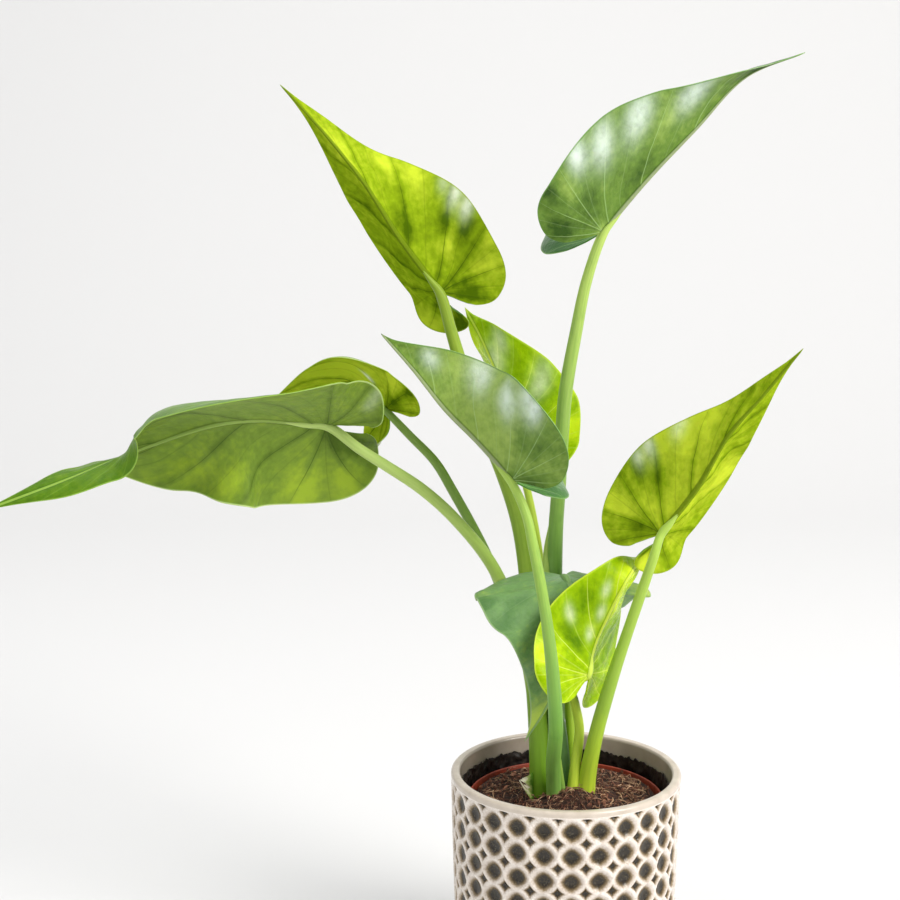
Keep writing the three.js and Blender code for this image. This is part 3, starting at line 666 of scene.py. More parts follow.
FIBRES = 1500
FIBRE_STEPS, FIBRE_SIDES = 7, 4
fibre_faces = []
for i in range(FIBRE_STEPS):
    for s in range(FIBRE_SIDES):
        a, b = i * FIBRE_SIDES + s, i * FIBRE_SIDES + (s + 1) % FIBRE_SIDES
        fibre_faces.append([a, b, b + FIBRE_SIDES, a + FIBRE_SIDES])
fibre_faces = np.array(fibre_faces)
xs, ys, zs = scattered(FIBRES, 48)
placed = []
for i in range(FIBRES):
    length = 2.0 + 13 * LOOSE.uniform(0, 1) ** 3
    t = np.linspace(-0.5, 0.5, FIBRE_STEPS + 1)
    bow = LOOSE.uniform(-0.7, 0.7)
    heading = LOOSE.uniform(0, 6.28)
    lift = LOOSE.uniform(0.1, 0.9) + (LOOSE.uniform(0, 1) > 0.92) * 2.2
    tip = LOOSE.uniform(-0.3, 0.8)
    line = np.stack([t * length, bow * length * (t**2 - 0.08), lift * (1 - (2 * t) ** 2) + tip * t], axis=1)
    line[:, 1] += 0.25 * np.sin(9 * t + i)
    line = turned(line, (0, 0, heading))
    line[:, 0] += xs[i]
    line[:, 1] += ys[i]
    inside = np.hypot(line[:, 0], line[:, 1]) / 49.5
    line[:, :2] /= np.maximum(inside, 1)[:, None]
    line[:, 2] += soil_height(line[:, 0], line[:, 1]) + SOIL["loose"] + 0.7
    thick = (0.08 + 0.3 * LOOSE.uniform(0, 1) ** 3) * (1 - 0.6 * np.abs(2 * t))
    along = unit(np.gradient(line, axis=0))
    sideways = unit(np.cross(along, [0, 0, 1]))
    above = np.cross(sideways, along)
    ring = [2 * math.pi * s / FIBRE_SIDES for s in range(FIBRE_SIDES)]
    tube = [line + thick[:, None] * (math.cos(a) * sideways + math.sin(a) * above) for a in ring]
    placed.append(np.stack(tube, axis=1).reshape(-1, 3))
fibres = copies("coir_fibres", placed[0], fibre_faces, placed, LOOSE.uniform(0, 1, FIBRES))


# %% Coir finish
def coir(name, stops, own_tone):
    """Coconut husk: dry and dull, red-brown, with pale ends where it was chopped. Lumps of 2 mm vary
    the mass, and each loose crumb or fibre has a tone of its own."""
    material, tree, surface = new_material(name)
    place = add_node(tree, "ShaderNodeTexCoord").outputs["Object"]
    patch = add_node(tree, NOISE, None, {
        "Vector": place, "Scale": 1000 / 2.2, "Detail": 4.0, "Roughness": 0.65})
    tone = add_node(tree, ATTRIBUTE, {"attribute_name": "tone"}).outputs["Fac"]
    share = add_node(tree, MATH, MULTIPLY_ADD, {0: tone, 1: own_tone, 2: patch})
    shown = add_node(tree, RAMP, None, {"Fac": share}, stops)
    grit = add_node(tree, NOISE, None, {"Vector": place, "Scale": 1000 / 0.7, "Detail": 3.0})
    bump = add_node(tree, BUMP, None, {"Height": grit, "Strength": 0.8, "Distance": 0.0006})
    fill_inputs(tree, surface, {"Base Color": shown, "Roughness": 0.9, "Normal": bump})
    return material


COIR_PIECES = (
    (soil, "coir_mass", [(0.35, "#180c07"), (0.55, "#3a2015"), (0.75, "#6a3f2c")], 0.0, ["soil"], 50),
    (crumbs, "coir_crumb", [(0.35, "#22110b"), (0.75, "#633a2a"), (1.0, "#a8735a")], 0.55, (), 40),
    (fibres, "coir_fibre", [(0.35, "#2f190f"), (0.72, "#7a4c38"), (1.0, "#d8b08c")], 0.55, (), 60),
)
for piece, name, stops, own_tone, nodes, angle in COIR_PIECES:
    piece.data.materials.append(coir(name, stops, own_tone))
    settle(piece, nodes, angle)

# %% [markdown]
# ## The leaves
# A leaf is a flat heart that grew folded round its midrib. Every blade here shares one flat outline.
# What makes each its own is where its midrib runs, which way it faces, and how its two halves fold and
# curl. The flat place of each point is kept, because the veins and the colours follow it. Most values
# of the blades weren't chosen by hand: a separate program fitted them to outlines read from a
# photograph, and they were then rounded.

# %% Leaf values
HALF_OUTLINE = [
    (0, 0), (-0.05, 0.08), (-0.14, 0.24), (-0.19, 0.48), (-0.16, 0.75), (-0.05, 0.94), (0.1, 1),
    (0.28, 0.9), (0.46, 0.66), (0.63, 0.4), (0.78, 0.19), (0.9, 0.06), (1, 0),
]
LOBE_SHARE = 0.19
FAN_END = 0.1
SINUS_END = 1 / 6
LEFT, RIGHT = 0, 1

LEAVES = {
    "left_high": dict(
        midrib=[(-71, 18, 394), (-93, 14, 424), (-112, 12, 454), (-135, 18, 482), (-157, 21, 506)],
        facing=(0.05, 0.95, 0.3), half_width=55, drop=(-5, 8), roll=(0, -7, 6, -7),
        fold=((47, 49, 68, 60), (112, 55, 57, 50)), curl=((9, 14, -27, 18), (-160, 5, -24, 14)),
        route=[(-14, 1, 90), (-14, 1, 110), (-16, 7, 152), (-18, 14, 179), (-20, 23, 207),
               (-22, 30, 236), (-27, 30, 264), (-37, 25, 295), (-46, 20, 317), (-55, 18, 340),
               (-65, 17, 373)],
        radii=(5.2, 5.2, 4.4, 2.8),
    ),
    "right_high": dict(
        midrib=[(17, 11, 428), (41, 14, 456), (67, 17, 483), (93, 19, 510), (124, 16, 523)],
        facing=(-0.73, 0.11, 0.67), half_width=59, drop=(3, -16), roll=(0, 2, 1, -3),
        fold=((49, 19, 22, -3), (45, 44, 44, -9)), curl=((-50, 22, 25, -15), (2, -6, 28, -15)),
        route=[(-4, 12, 90), (-4, 12, 110), (-5, 20, 180), (-6, 27, 225), (-6, 21, 260), (-5, 13, 287),
               (-4, 11, 311), (-2, 11, 340), (3, 12, 371), (9, 12, 402)],
        radii=(4.6, 4.4, 3.8, 2.6),
        wing=dict(route=[(-9, 12, 90), (-9, 15, 130), (-10.6, 21, 190), (-10.4, 26, 240), (-8, 26, 272)],
                  radii=(1.6, 2, 3.2, 2)),
    ),
    "middle_back": dict(
        midrib=[(-29, 50, 299), (-34, 53, 321), (-39, 54, 341), (-47, 60, 361), (-57, 77, 378)],
        facing=(-0.68, -0.71, 0.2), half_width=51, drop=(-4, -6), roll=(0, 1, -1, 33),
        fold=((-63, -46, -42, -16), (18, 22, -24, 10)), curl=((58, 16, 3, 1), (-14, -44, -2, 3)),
        route=[(5, 14, 90), (5, 14, 110), (3, 23, 150), (-3, 33, 178), (-11, 40, 214), (-15, 46, 244),
               (-21, 51, 275)],
        radii=(3, 2.8, 2.4, 2),
    ),
    "right_mid": dict(
        midrib=[(48, -27, 269), (67, -29, 295), (82, -33, 324), (101, -33, 347), (120, -33, 371)],
        facing=(0.07, 0.97, 0.23), half_width=49, drop=(10, -1), roll=(0, 10, -6, 10),
        fold=((110, 60, 57, 52), (57, 55, 72, 48)), curl=((-165, -6, -33, 2), (-6, 1, -22, 2)),
        route=[(10.3, -3.5, 90), (11, -4, 114), (16, -10, 149), (23, -17, 181), (31, -24, 212),
               (39, -30, 241), (44, -32, 258)],
        radii=(4, 3.8, 3, 2.2),
    ),
    "middle_front": dict(
        midrib=[(-33, -46, 303), (-50, -39, 321), (-68, -38, 339), (-84, -53, 362), (-100, -82, 386)],
        facing=(0.79, 0.23, 0.56), half_width=54, drop=(-16, 3), roll=(0, -14, 9, 25),
        fold=((31, 37, 79, 66), (60, 29, 39, 43)), curl=((8, -8, -23, 0), (-63, 18, -24, 0)),
        route=[(-7, -8, 90), (-7, -8, 112), (-8, -18, 136), (-8, -38, 163), (-10, -50, 190),
               (-13, -56, 218), (-17, -58, 244), (-22, -56, 270), (-26, -53, 287)],
        radii=(4.4, 4, 3, 2.2),
        wing=dict(route=[(-1.8, -7, 90), (-1.8, -7, 108), (-3, -9, 120), (-4.5, -13, 132),
                         (-5, -18, 143)],
                  radii=(2.2, 2.2, 1.8, 1)),
    ),
    "low_right": dict(
        midrib=[(11, -19, 187), (14, -16, 201), (23, -18, 224), (32, -13, 240), (43, 18, 246)],
        facing=(0.55, -0.72, 0.42), half_width=40, drop=(-11, -8), roll=(0, 2, 1, -40),
        fold=((20, 16, -31, 8), (-72, -43, -40, -30)), curl=((-22, -25, 7, -6), (78, 18, -6, 1)),
        route=[(3.5, -6, 90), (3.5, -6, 110), (5, -4, 128), (7.5, 1, 148), (5, 1, 163), (2, -6, 177)],
        radii=(2.6, 2.6, 2.4, 2),
    ),
    "left_long": dict(
        midrib=[(-132, -17, 327), (-178, -27, 331), (-230, -7, 313), (-270, -26, 299), (-316, -34, 283)],
        facing=(0.04, 0.89, 0.45), half_width=54, drop=(64, -62), roll=(0, -4, -2, -21, -79, -100, -124),
        fold=((-29, -37, 21, -30), (3, -3, -2, 3)), curl=((45, 22, -147, -9), (-45, -4, -113, -6)),
        route=[(-15, 12, 90), (-15, 12, 110), (-16, 19, 144), (-21, 26, 180), (-29, 28, 208),
               (-42, 21, 239), (-63, 4, 270), (-81, -6, 289), (-100, -15, 304), (-114, -19, 314)],
        radii=(3.9, 3.8, 3.2, 2.5),
    ),
    "left_back": dict(
        midrib=[(-101, 28, 327), (-120, 39, 340), (-151, 50, 328), (-161, 52, 320), (-194, 64, 301)],
        facing=(-0.29, 0.67, 0.68), half_width=38, drop=(8, 67), roll=(0, -17, -26, -16),
        fold=((13, 10, 3, 11), (-53, -25, 15, 12)), curl=((-27, -31, -53, -16), (66, 36, 36, -14)),
        route=[(-11, 21, 90), (-11, 21, 110), (-13, 29, 145), (-23, 37, 184), (-31, 39, 207),
               (-46, 37, 244), (-64, 29, 280), (-74, 24, 298), (-88, 19, 314)],
        radii=(3.6, 3.2, 2.8, 2.1),
    ),
    "low_middle": dict(
        midrib=[(-2, 4, 237), (1, -5, 234), (2, -10, 222), (1, -13, 204), (-5, -15, 184),
                (-13, -17, 166), (-24, -15, 147)],
        facing=(0, 0.02, 1), half_width=54, drop=(22, 22), roll=(0, -2, -3, 3),
        fold=((-18, -13, -64, -61), (-6, -8, 0, -1)), curl=((0, 0, 0, 0), (-18, -1, 5, 6)),
        route=[(0, 1, 90), (0, 2, 113), (-2, 6, 141), (-7, 8, 170), (-9, 9, 196), (-5, 9, 220)],
        radii=(4, 3.2, 2.6, 2.2),
    ),
}
print(len(LEAVES), "leaves")

# %% [markdown]
# ## Folding a flat leaf
# The midrib gives a frame at each place: along it, to its left and up from its upper face. A half of
# the blade leaves the midrib at its fold angle and bends along a circle by its curl angle. The lobes
# lie behind the stalk, so there the midrib line is carried on backwards and droops.

# %% Blade surface
FRAME_STEPS = 60


def outline_at(t):
    """The half outline's points for t from 0 at the sinus to 1 at the tip."""
    points = np.array(HALF_OUTLINE, dtype=float)
    last = len(points) - 1
    place = np.clip(t, 0, 1) * last
    i = np.minimum(place.astype(int), last - 1)
    w = (place - i)[:, None]
    p0, p1 = points[np.maximum(i - 1, 0)], points[i]
    p2, p3 = points[i + 1], points[np.minimum(i + 2, last)]
    out, into = (p2 - p0) / 2, (p3 - p1) / 2
    square, cube = bends(p1, p2, out, into)
    return cube * w**3 + square * w**2 + out * w + p1


def blade_frames(leaf):
    places, along, length = curve_through(leaf["midrib"], FRAME_STEPS)
    return places, along, carried(leaf["facing"], along), length


def blade_points(leaf, frames, half, share, across):
    """Where flat blade points lie on the folded leaf, in millimetres."""
    places, alongs, ups, length = frames
    side = 1 if half == LEFT else -1
    place = np.clip(share, 0, 1) * FRAME_STEPS
    i = np.minimum(place.astype(int), FRAME_STEPS - 1)
    w = (place - i)[:, None]
    point = places[i] * (1 - w) + places[i + 1] * w
    along = unit(alongs[i] * (1 - w) + alongs[i + 1] * w)
    up = ups[i] * (1 - w) + ups[i + 1] * w
    up = unit(up - along * np.sum(up * along, axis=1, keepdims=True))
    roll = np.radians(through(leaf["roll"], share))[:, None]
    up = up * np.cos(roll) + np.cross(along, up) * np.sin(roll)
    behind = (share < 0)[:, None]
    bend = math.radians(leaf["drop"][half]) / (LOBE_SHARE * length)
    bend = bend if abs(bend) > 1e-6 else 1e-6
    turn = bend * np.maximum(-share, 0)[:, None] * length
    lobe_point = places[0] - alongs[0] * np.sin(turn) / bend - ups[0] * (1 - np.cos(turn)) / bend
    point = np.where(behind, lobe_point, point)
    along = np.where(behind, alongs[0] * np.cos(turn) + ups[0] * np.sin(turn), along)
    up = np.where(behind, ups[0] * np.cos(turn) - alongs[0] * np.sin(turn), up)
    left = np.cross(up, along)
    station = np.where(share < 0, (1 + np.maximum(share / LOBE_SHARE, -1)) / 3, (1 + 2 * share) / 3)
    fold = np.radians(through(leaf["fold"][half], station))
    curl = np.radians(through(leaf["curl"][half], station))
    curl = np.where(np.abs(curl) < 1e-3, 1e-3, curl)
    turn = curl * across
    out = (np.sin(fold + turn) - np.sin(fold)) / curl * leaf["half_width"]
    rise = (np.cos(fold) - np.cos(fold + turn)) / curl * leaf["half_width"]
    return point + left * (side * out)[:, None] + up * rise[:, None]


# %% [markdown]
# ## Veins
# Six main veins leave each side of the midrib, three of them straight from the stalk into the lobe, and
# all sweep towards the tip. A finer vein runs between each two. Each lies on a row of the grid, so its
# line is sharp. The distance from every point to the nearest vein is kept, and the relief and the
# colour both come from that one number.

# %% Vein lines
VEIN_ENDS = (2.9, 4.4, 5.7, 7.1, 8.5, 9.8)
TWIG_ENDS = (3.65, 5.05, 6.4, 7.8, 9.15, 10.5)
VEIN_SWEEP = 1.3
FAN_EASE = 0.2
VEIN_STEPS = 30
OUTLINE_SPANS = len(HALF_OUTLINE) - 1
ROOT_EASE = 2.2
LEAF_ROWS = 200
HALF_COLUMNS = 34


def row_root(edge):
    """Where on the midrib a row starts, as a share of its length."""
    return np.maximum(0, (edge[:, 0] - FAN_END) / (1 - FAN_END)) ** ROOT_EASE


def row_line(t, reach):
    """The flat place on the row that ends at t on the outline: along and across, as shares."""
    edge = outline_at(t)
    root = row_root(edge)
    in_fan = 1.0 + (VEIN_SWEEP - 1.0) * smooth((t - SINUS_END) / FAN_EASE)
    sweep = np.where(edge[:, 0] < FAN_END, in_fan, VEIN_SWEEP)
    return root + (edge[:, 0] - root) * reach**sweep, np.maximum(edge[:, 1], 0) * reach


def distance_to_lines(places, ends, length, half_width):
    """The least distance in millimetres from each flat place to the veins that end at these places."""
    nearest = np.full(len(places), 1e3)
    steps = np.linspace(0, 1, VEIN_STEPS)
    for end in ends:
        share, across = row_line(np.full(VEIN_STEPS, end / OUTLINE_SPANS), steps)
        line = np.stack([across * half_width, share * length], axis=1)
        for a, b in zip(line[:-1], line[1:]):
            step = b - a
            t = np.clip(((places - a) @ step) / max(step @ step, 1e-9), 0, 1)
            nearest = np.minimum(nearest, np.linalg.norm(places - a - t[:, None] * step, axis=1))
    return nearest


SPOT_STRETCH = 1.35


def spots(flat, wanted, length, half_width):
    """The sum of soft spots, a little longer the way the veins run. A spot is share, across from -1
    on the right to 1 on the left, radius in millimetres and strength."""
    total = np.zeros(len(flat))
    for share, across, radius, strength in wanted:
        middle = np.array([across * half_width, share * length])
        gap = flat[:, :2] - middle
        outward = middle / max(np.linalg.norm(middle), 1e-6)
        lengthwise = gap @ outward / SPOT_STRETCH
        crosswise = gap @ [outward[1], -outward[0]] * SPOT_STRETCH
        total += strength * np.exp(-(lengthwise**2 + crosswise**2) / radius**2)
    return total


# %% [markdown]
# ## Where light and bloom lie on each leaf
# Painted light and shade lie on each blade in soft patches. The painted glow turns places yellow-green,
# where light comes through thin, new tissue or falls brightly on a blade. The painted sheen turns places
# pale and bluish, standing in for bright light that the waxy surface reflects. The painted shade darkens
# folds and the parts that face away from the light. Each patch has its share of the way to the tip, its
# place across the blade, its radius and its strength. A separate program worked out more than half of
# the places from spots read in a photograph. The radii and the strengths were chosen one by one.

# %% Patches
PATCHES = {
    "left_high": dict(
        pucker=2.3,
        glow=[(-0.08, 0.7, 9, 0.45), (-0.12, -0.85, 8, 0.6), (0.12, 0.43, 7, 0.45), (0.67, 0.0, 15, 0.35),
              (0.54, 0.45, 9, 0.4), (0.42, 0.62, 8, 0.4), (0.0, 0.95, 7, 0.4)],
        painted_sheen=[(0.25, 0.86, 6, 0.75), (0.17, 0.92, 6, 0.8), (0.33, 0.82, 5, 0.3)],
        shade=[(0.1, 0.72, 7, 0.4), (0.19, 0.55, 6, 0.4), (-0.08, 0.29, 8, 0.45), (-0.1, -0.17, 7, 0.6),
               (-0.17, -0.5, 6, 0.6), (0.3, 0.13, 8, 0.3), (0.15, -0.35, 12, 0.15), (0.42, -0.3, 12, 0.15),
               (0.68, -0.12, 12, 0.15)],
    ),
    "right_mid": dict(
        pucker=2.0,
        glow=[(-0.05, -0.73, 9, 0.5), (-0.15, 0.48, 8, 0.45), (0.5, -0.5, 12, 0.35), (0.35, -0.85, 9, 0.4),
              (0.3, 0.7, 14, 0.35), (0.2, -0.2, 45, 0.3)],
        painted_sheen=[(0.25, -0.88, 6, 0.7), (0.17, -0.93, 5, 0.6), (0.42, -0.7, 6, 0.4)],
        shade=[(0.11, -0.75, 6, 0.35), (0.16, -0.49, 7, 0.4), (-0.1, 0.3, 7, 0.5), (-0.06, -0.3, 7, 0.4)],
    ),
    "right_high": dict(
        painted_sheen=[(0.22, -0.72, 9, 0.75), (0.13, -0.9, 8, 0.85), (0.38, -0.6, 10, 0.75),
               (0.59, -0.34, 9, 0.75)],
        # The last painted shade spot also darkens the grey-brown tip, which is the leaf's own colour.
        shade=[(0.04, -0.38, 10, 0.3), (-0.12, -0.4, 9, 0.45), (0.25, -0.14, 9, 0.25), (-0.14, 0.5, 14, 0.6),
               (-0.05, -0.9, 11, 0.45), (0.85, -0.05, 12, 0.4)],
        glow=[(0.01, -0.71, 8, 0.3), (0.45, -0.33, 8, 0.25), (-0.01, 0.02, 6, 0.4)],
    ),
    "middle_front": dict(
        painted_sheen=[(0.26, 0.64, 8, 0.8), (0.2, 0.9, 8, 0.75), (0.12, 0.89, 7, 0.85), (0.46, 0.5, 9, 0.7),
               (0.67, 0.2, 6, 0.55)],
        shade=[(0.0, 0.57, 7, 0.35), (0.08, 0.48, 7, 0.3), (-0.07, 0.15, 9, 0.5), (-0.1, -0.3, 10, 0.5)],
        glow=[(0.57, 0.32, 6, 0.2), (0.3, 0.4, 45, 0.35)],
    ),
    "middle_back": dict(
        pucker=1.6,
        painted_sheen=[(0.58, -0.06, 6, 0.5), (0.67, -0.21, 5, 0.5), (0.39, -0.49, 7, 0.45)],
        glow=[(0.79, 0.15, 10, 0.5), (0.08, -0.93, 8, 0.6), (0.5, 0.3, 10, 0.3)],
        shade=[(0.2, -0.3, 12, 0.3)],
    ),
    "low_right": dict(
        pucker=2.0,
        painted_sheen=[(0.52, 0.2, 3, 0.5), (0.39, 0.13, 3, 0.5), (0.25, 0.17, 3, 0.5), (0.33, 0.54, 3, 0.5)],
        glow=[(0.47, -0.09, 6, 0.5), (0.67, 0.0, 8, 0.5), (0.1, 0.9, 9, 0.5)],
        shade=[(0.2, 0.4, 7, 0.4), (0.42, 0.4, 6, 0.4), (0.2, -0.6, 14, 0.4)],
    ),
    "left_long": dict(
        glow=[(0.03, -0.79, 12, 0.5), (0.32, -0.63, 10, 0.4), (-0.08, -0.7, 10, 0.5),
              (0.44, -0.42, 12, 0.4)],
        shade=[(-0.05, -0.19, 9, 0.5), (-0.1, -0.36, 8, 0.4)],
        painted_sheen=[(-0.13, 0.57, 5, 0.3), (-0.15, 0.73, 5, 0.3), (0.3, 0.6, 30, 0.12)],
    ),
    "left_back": dict(
        pucker=1.3,
        glow=[(0.29, 0.43, 8, 0.5), (0.22, 0.57, 8, 0.4), (0.01, 0.75, 6, 0.5), (0.3, 0.3, 50, 0.3)],
        painted_sheen=[(0.14, 0.39, 2.5, 0.9)],
        shade=[(-0.04, 0.25, 6, 0.5), (-0.12, 0.76, 6, 0.5)],
    ),
    "low_middle": dict(
        shade=[(0.18, -0.94, 6, 0.6), (0.31, -0.77, 8, 0.5), (0.16, -0.56, 7, 0.3)],
        glow=[(0.95, 0.0, 12, 1.2), (0.03, 0.95, 8, 0.4)],
        painted_sheen=[(0.0, -0.05, 7, 0.3), (0.6, -0.36, 6, 0.2)],
    ),
}
for name, patches in PATCHES.items():
    LEAVES[name].update(patches)

# %% [markdown]
# ## A blade with two skins
# The blade starts as one sheet that puckers between its veins. Solidify then gives it a second skin.
# The two skins are moved apart by the leaf's thickness, with grooves above the veins and raised
# lines below them, and each skin has its own finish.

# %% Blade piece
BLADE_THICKNESS = 0.8
RIB = dict(height=1.2, width=1.1, groove=0.3)
VEIN = dict(height=0.32, width=0.5, groove=0.22)
QUILT = 0.6


def rib_width(share):
    return RIB["width"] * np.clip(1.15 - 0.75 * share, 0.3, 1.2)


def keep_flat_place(piece, leaf, t, reach, share, across, right, length):
    """Keeps what the relief and the finish need to know about each point."""
    half_width = leaf["half_width"]
    flat = np.stack([np.where(right, -across, across) * half_width, share * length, 0 * share], axis=1)
    mirrored = np.stack([np.abs(flat[:, 0]), flat[:, 1]], axis=1)
    edge = outline_at(t)
    span = np.hypot((edge[:, 0] - row_root(edge)) * length, edge[:, 1] * half_width)
    from_rib = np.where(flat[:, 1] > 0, np.abs(flat[:, 0]), np.hypot(flat[:, 0], flat[:, 1]))
    paint(piece, "flat", flat * MM)
    paint(piece, "fan", np.stack([t * 90, reach * 4, np.where(right, 7.0, 0.0)], axis=1))
    paint(piece, "vein", distance_to_lines(mirrored, VEIN_ENDS, length, half_width))
    paint(piece, "twig", distance_to_lines(mirrored, TWIG_ENDS, length, half_width))
    paint(piece, "rib", from_rib / rib_width(share))
    paint(piece, "reach", reach)
    paint(piece, "share", share)
    paint(piece, "margin", span * (1 - reach))
    for mark in ("glow", "painted_sheen", "shade"):
        paint(piece, mark, spots(flat, leaf.get(mark, ()), length, half_width))


def make_blade(name, leaf, seed, over, under):
    frames = blade_frames(leaf)
    piece, u, v = flat_grid(f"blade_{name}_skin", 2 * HALF_COLUMNS, LEAF_ROWS)
    reach = np.abs(2 * u - 1) ** 1.4
    t = SINUS_END + (1 - SINUS_END) * v
    share, across = row_line(t, reach)
    right = u > 0.5
    halves = [blade_points(leaf, frames, half, share, across) for half in (RIGHT, LEFT)]
    move_to(piece, np.where(right[:, None], *halves) * MM)
    keep_flat_place(piece, leaf, t, reach, share, across, right, frames[3])
    weld(piece, turn_outwards=False)

    flat = painted(piece, "flat") / MM
    marks = ("vein", "rib", "margin", "reach", "share")
    vein, rib, margin, reach, share = (painted(piece, key) for key in marks)
    upwards = read_vectors(piece.data.vertex_normals, "vector")
    calm = smooth(margin / 5) * smooth(rib / 5)
    pucker = cloud(flat, 15, seed) * 0.7 + cloud(flat, 6.5, seed + 1) * 0.32
    relief = QUILT * smooth(vein / 8) * calm + leaf.get("pucker", 1.0) * pucker * calm
    middle = positions(piece) + upwards * relief[:, None] * MM
    rib_line = np.exp(-(rib**2)) * np.clip(1.05 - share, 0, 1) * smooth(share / 0.02 + 0.6)
    vein_line = np.exp(-((vein / (VEIN["width"] * (1.2 - 0.6 * reach))) ** 2))
    vein_line *= (1 - 0.75 * reach) * smooth(rib / 1.8)
    upper = BLADE_THICKNESS / 2 - RIB["groove"] * rib_line - VEIN["groove"] * vein_line
    lower = BLADE_THICKNESS / 2 + RIB["height"] * rib_line + VEIN["height"] * vein_line
    thin = 0.45 + 0.55 * smooth(margin / 2)
    move_to(piece, middle)

    count = len(vein)
    for skin in (over, under):
        piece.data.materials.append(skin)
    thicken(piece, BLADE_THICKNESS, second_skin=1)
    both = positions(piece)
    first_up = np.sum((both[:count] - middle) * upwards) > 0
    above = middle + upwards * (upper * thin)[:, None] * MM
    below = middle - upwards * (lower * thin)[:, None] * MM
    both[:count] = above if first_up else below
    both[count:] = below if first_up else above
    move_to(piece, both)
    looks_up = 0
    for face in piece.data.polygons:
        if face.material_index == 0:
            looks_up += face.normal.dot(Vector(upwards[face.vertices[0] % count])) * face.area
    if looks_up < 0:
        piece.data.materials[0], piece.data.materials[1] = under, over
    return piece


# %% [markdown]
# ## Leaf tissue
# One surface recipe serves all faces. From the flat place and the vein distance it makes soft mottling, fine
# stripes that run with the veins, a halo along each vein, the veins, the midrib with a painted shadow line
# along each side, a thin pale margin, and the painted glow, sheen and shade of the patches. Light also
# spreads a little inside the thin blade, and subsurface scattering gives that.

# %% Leaf finish
def leaf_tissue(name, tissue, vein, rib, painted_sheen, edge, halo=0.2, line=0.7, rough=0.4, coat=0.0, gloss=0.3):
    material, tree, surface = new_material(name)
    flat, fan = (
        add_node(tree, ATTRIBUTE, {"attribute_name": key}).outputs["Vector"] for key in ("flat", "fan"))
    mark = {
        key: add_node(tree, ATTRIBUTE, {"attribute_name": key}).outputs["Fac"]
        for key in ("vein", "twig", "rib", "reach", "margin", "glow", "painted_sheen", "shade")
    }
    cloudy = add_node(tree, NOISE, None, {
        "Vector": flat, "Scale": 1000 / 20, "Detail": 3.0, "Roughness": 0.55})
    mottled = add_node(tree, NOISE, None, {
        "Vector": flat, "Scale": 1000 / 5, "Detail": 4.0, "Roughness": 0.6})
    stripe = add_node(tree, NOISE, None, {"Vector": fan, "Scale": 1.0, "Detail": 3.0, "Roughness": 0.6})
    near = add_node(tree, RANGE, SOFT_STEP, {"Value": mark["vein"], "From Min": 3.5, "From Max": 0.4})
    # The tone starts from the painted glow, adds the grain and the halo, and loses the painted shade.
    tone = mark["glow"]
    for grain, weight in ((cloudy, 0.38), (mottled, 0.46), (stripe, 0.25), (near, -halo)):
        tone = add_node(tree, MATH, MULTIPLY_ADD, {0: grain, 1: weight, 2: tone})
    tone = add_node(tree, MATH, {"operation": "SUBTRACT"}, {0: tone, 1: mark["shade"]})
    deep, middle, light = tissue
    shown = add_node(tree, RAMP, None, {"Fac": tone}, [(0.15, deep), (0.54, middle), (0.95, light)])
    twig = add_node(tree, RANGE, SOFT_STEP, {"Value": mark["twig"], "From Min": 0.55, "From Max": 0.1,
                                             "To Max": 0.3 * line})
    shown = add_node(tree, MIX, COLOURS, {SHARE: twig, UNDER: shown, OVER: paint_colour(vein)})
    stroke = add_node(tree, RANGE, None, {"Value": mark["reach"], "To Min": 1.9, "To Max": 3.6})
    stroke = add_node(tree, MATH, MULTIPLY, {0: mark["vein"], 1: stroke})
    stroke = add_node(tree, RANGE, SOFT_STEP, {"Value": stroke, "From Min": 1.0, "From Max": 0.3})
    fade = add_node(tree, RANGE, None, {
        "Value": mark["reach"], "From Min": 0.6, "To Min": line, "To Max": 0.2})
    stroke = add_node(tree, MATH, MULTIPLY, {0: stroke, 1: fade})
    shown = add_node(tree, MIX, COLOURS, {SHARE: stroke, UNDER: shown, OVER: paint_colour(vein)})
    # Painted sheen: pale, bluish patches stand in for bright light reflected in the waxy surface, broken up
    # by the mottling.
    mask = add_node(tree, RANGE, SOFT_STEP, {
        "Value": mottled, "From Min": 0.3, "From Max": 0.6, "To Min": 0.75})
    sheen = add_node(tree, MATH, {"operation": "MULTIPLY", "use_clamp": True}, {0: mark["painted_sheen"], 1: mask})
    shown = add_node(tree, MIX, COLOURS, {SHARE: sheen, UNDER: shown, OVER: paint_colour(painted_sheen)})
    # Painted shadow: a dark line in the deep tone runs along each side of the raised midrib.
    painted_rib_shadow = ("rib", 2.3, 1.5, 0.6, deep)
    ridge = ("rib", 1.5, 0.8, 0.85, rib)
    rim = ("margin", 1.1, 0.3, 0.75, edge)
    for key, start, end, most, colour in (painted_rib_shadow, ridge, rim):
        share = add_node(tree, RANGE, SOFT_STEP, {
            "Value": mark[key], "From Min": start, "From Max": end, "To Max": most})
        shown = add_node(tree, MIX, COLOURS, {SHARE: share, UNDER: shown, OVER: paint_colour(colour)})
    shine = add_node(tree, RANGE, None, {"Value": mottled, "From Min": 0.3, "From Max": 0.7,
                                         "To Min": rough - 0.06, "To Max": rough + 0.1})
    wrinkle = add_node(tree, MATH, MULTIPLY_ADD, {0: mottled, 1: 2.5, 2: stripe})
    bump = add_node(tree, BUMP, None, {"Height": wrinkle, "Strength": 0.35, "Distance": 0.0008})
    fill_inputs(tree, surface, {
        "Base Color": shown, "Roughness": shine, "Normal": bump, "IOR": 1.45,
        "Subsurface Weight": 0.25, "Subsurface Radius": (0.6, 1.0, 0.2), "Subsurface Scale": 0.002,
        "Specular IOR Level": gloss, "Coat Weight": coat, "Coat Roughness": 0.2,
    })
    return material
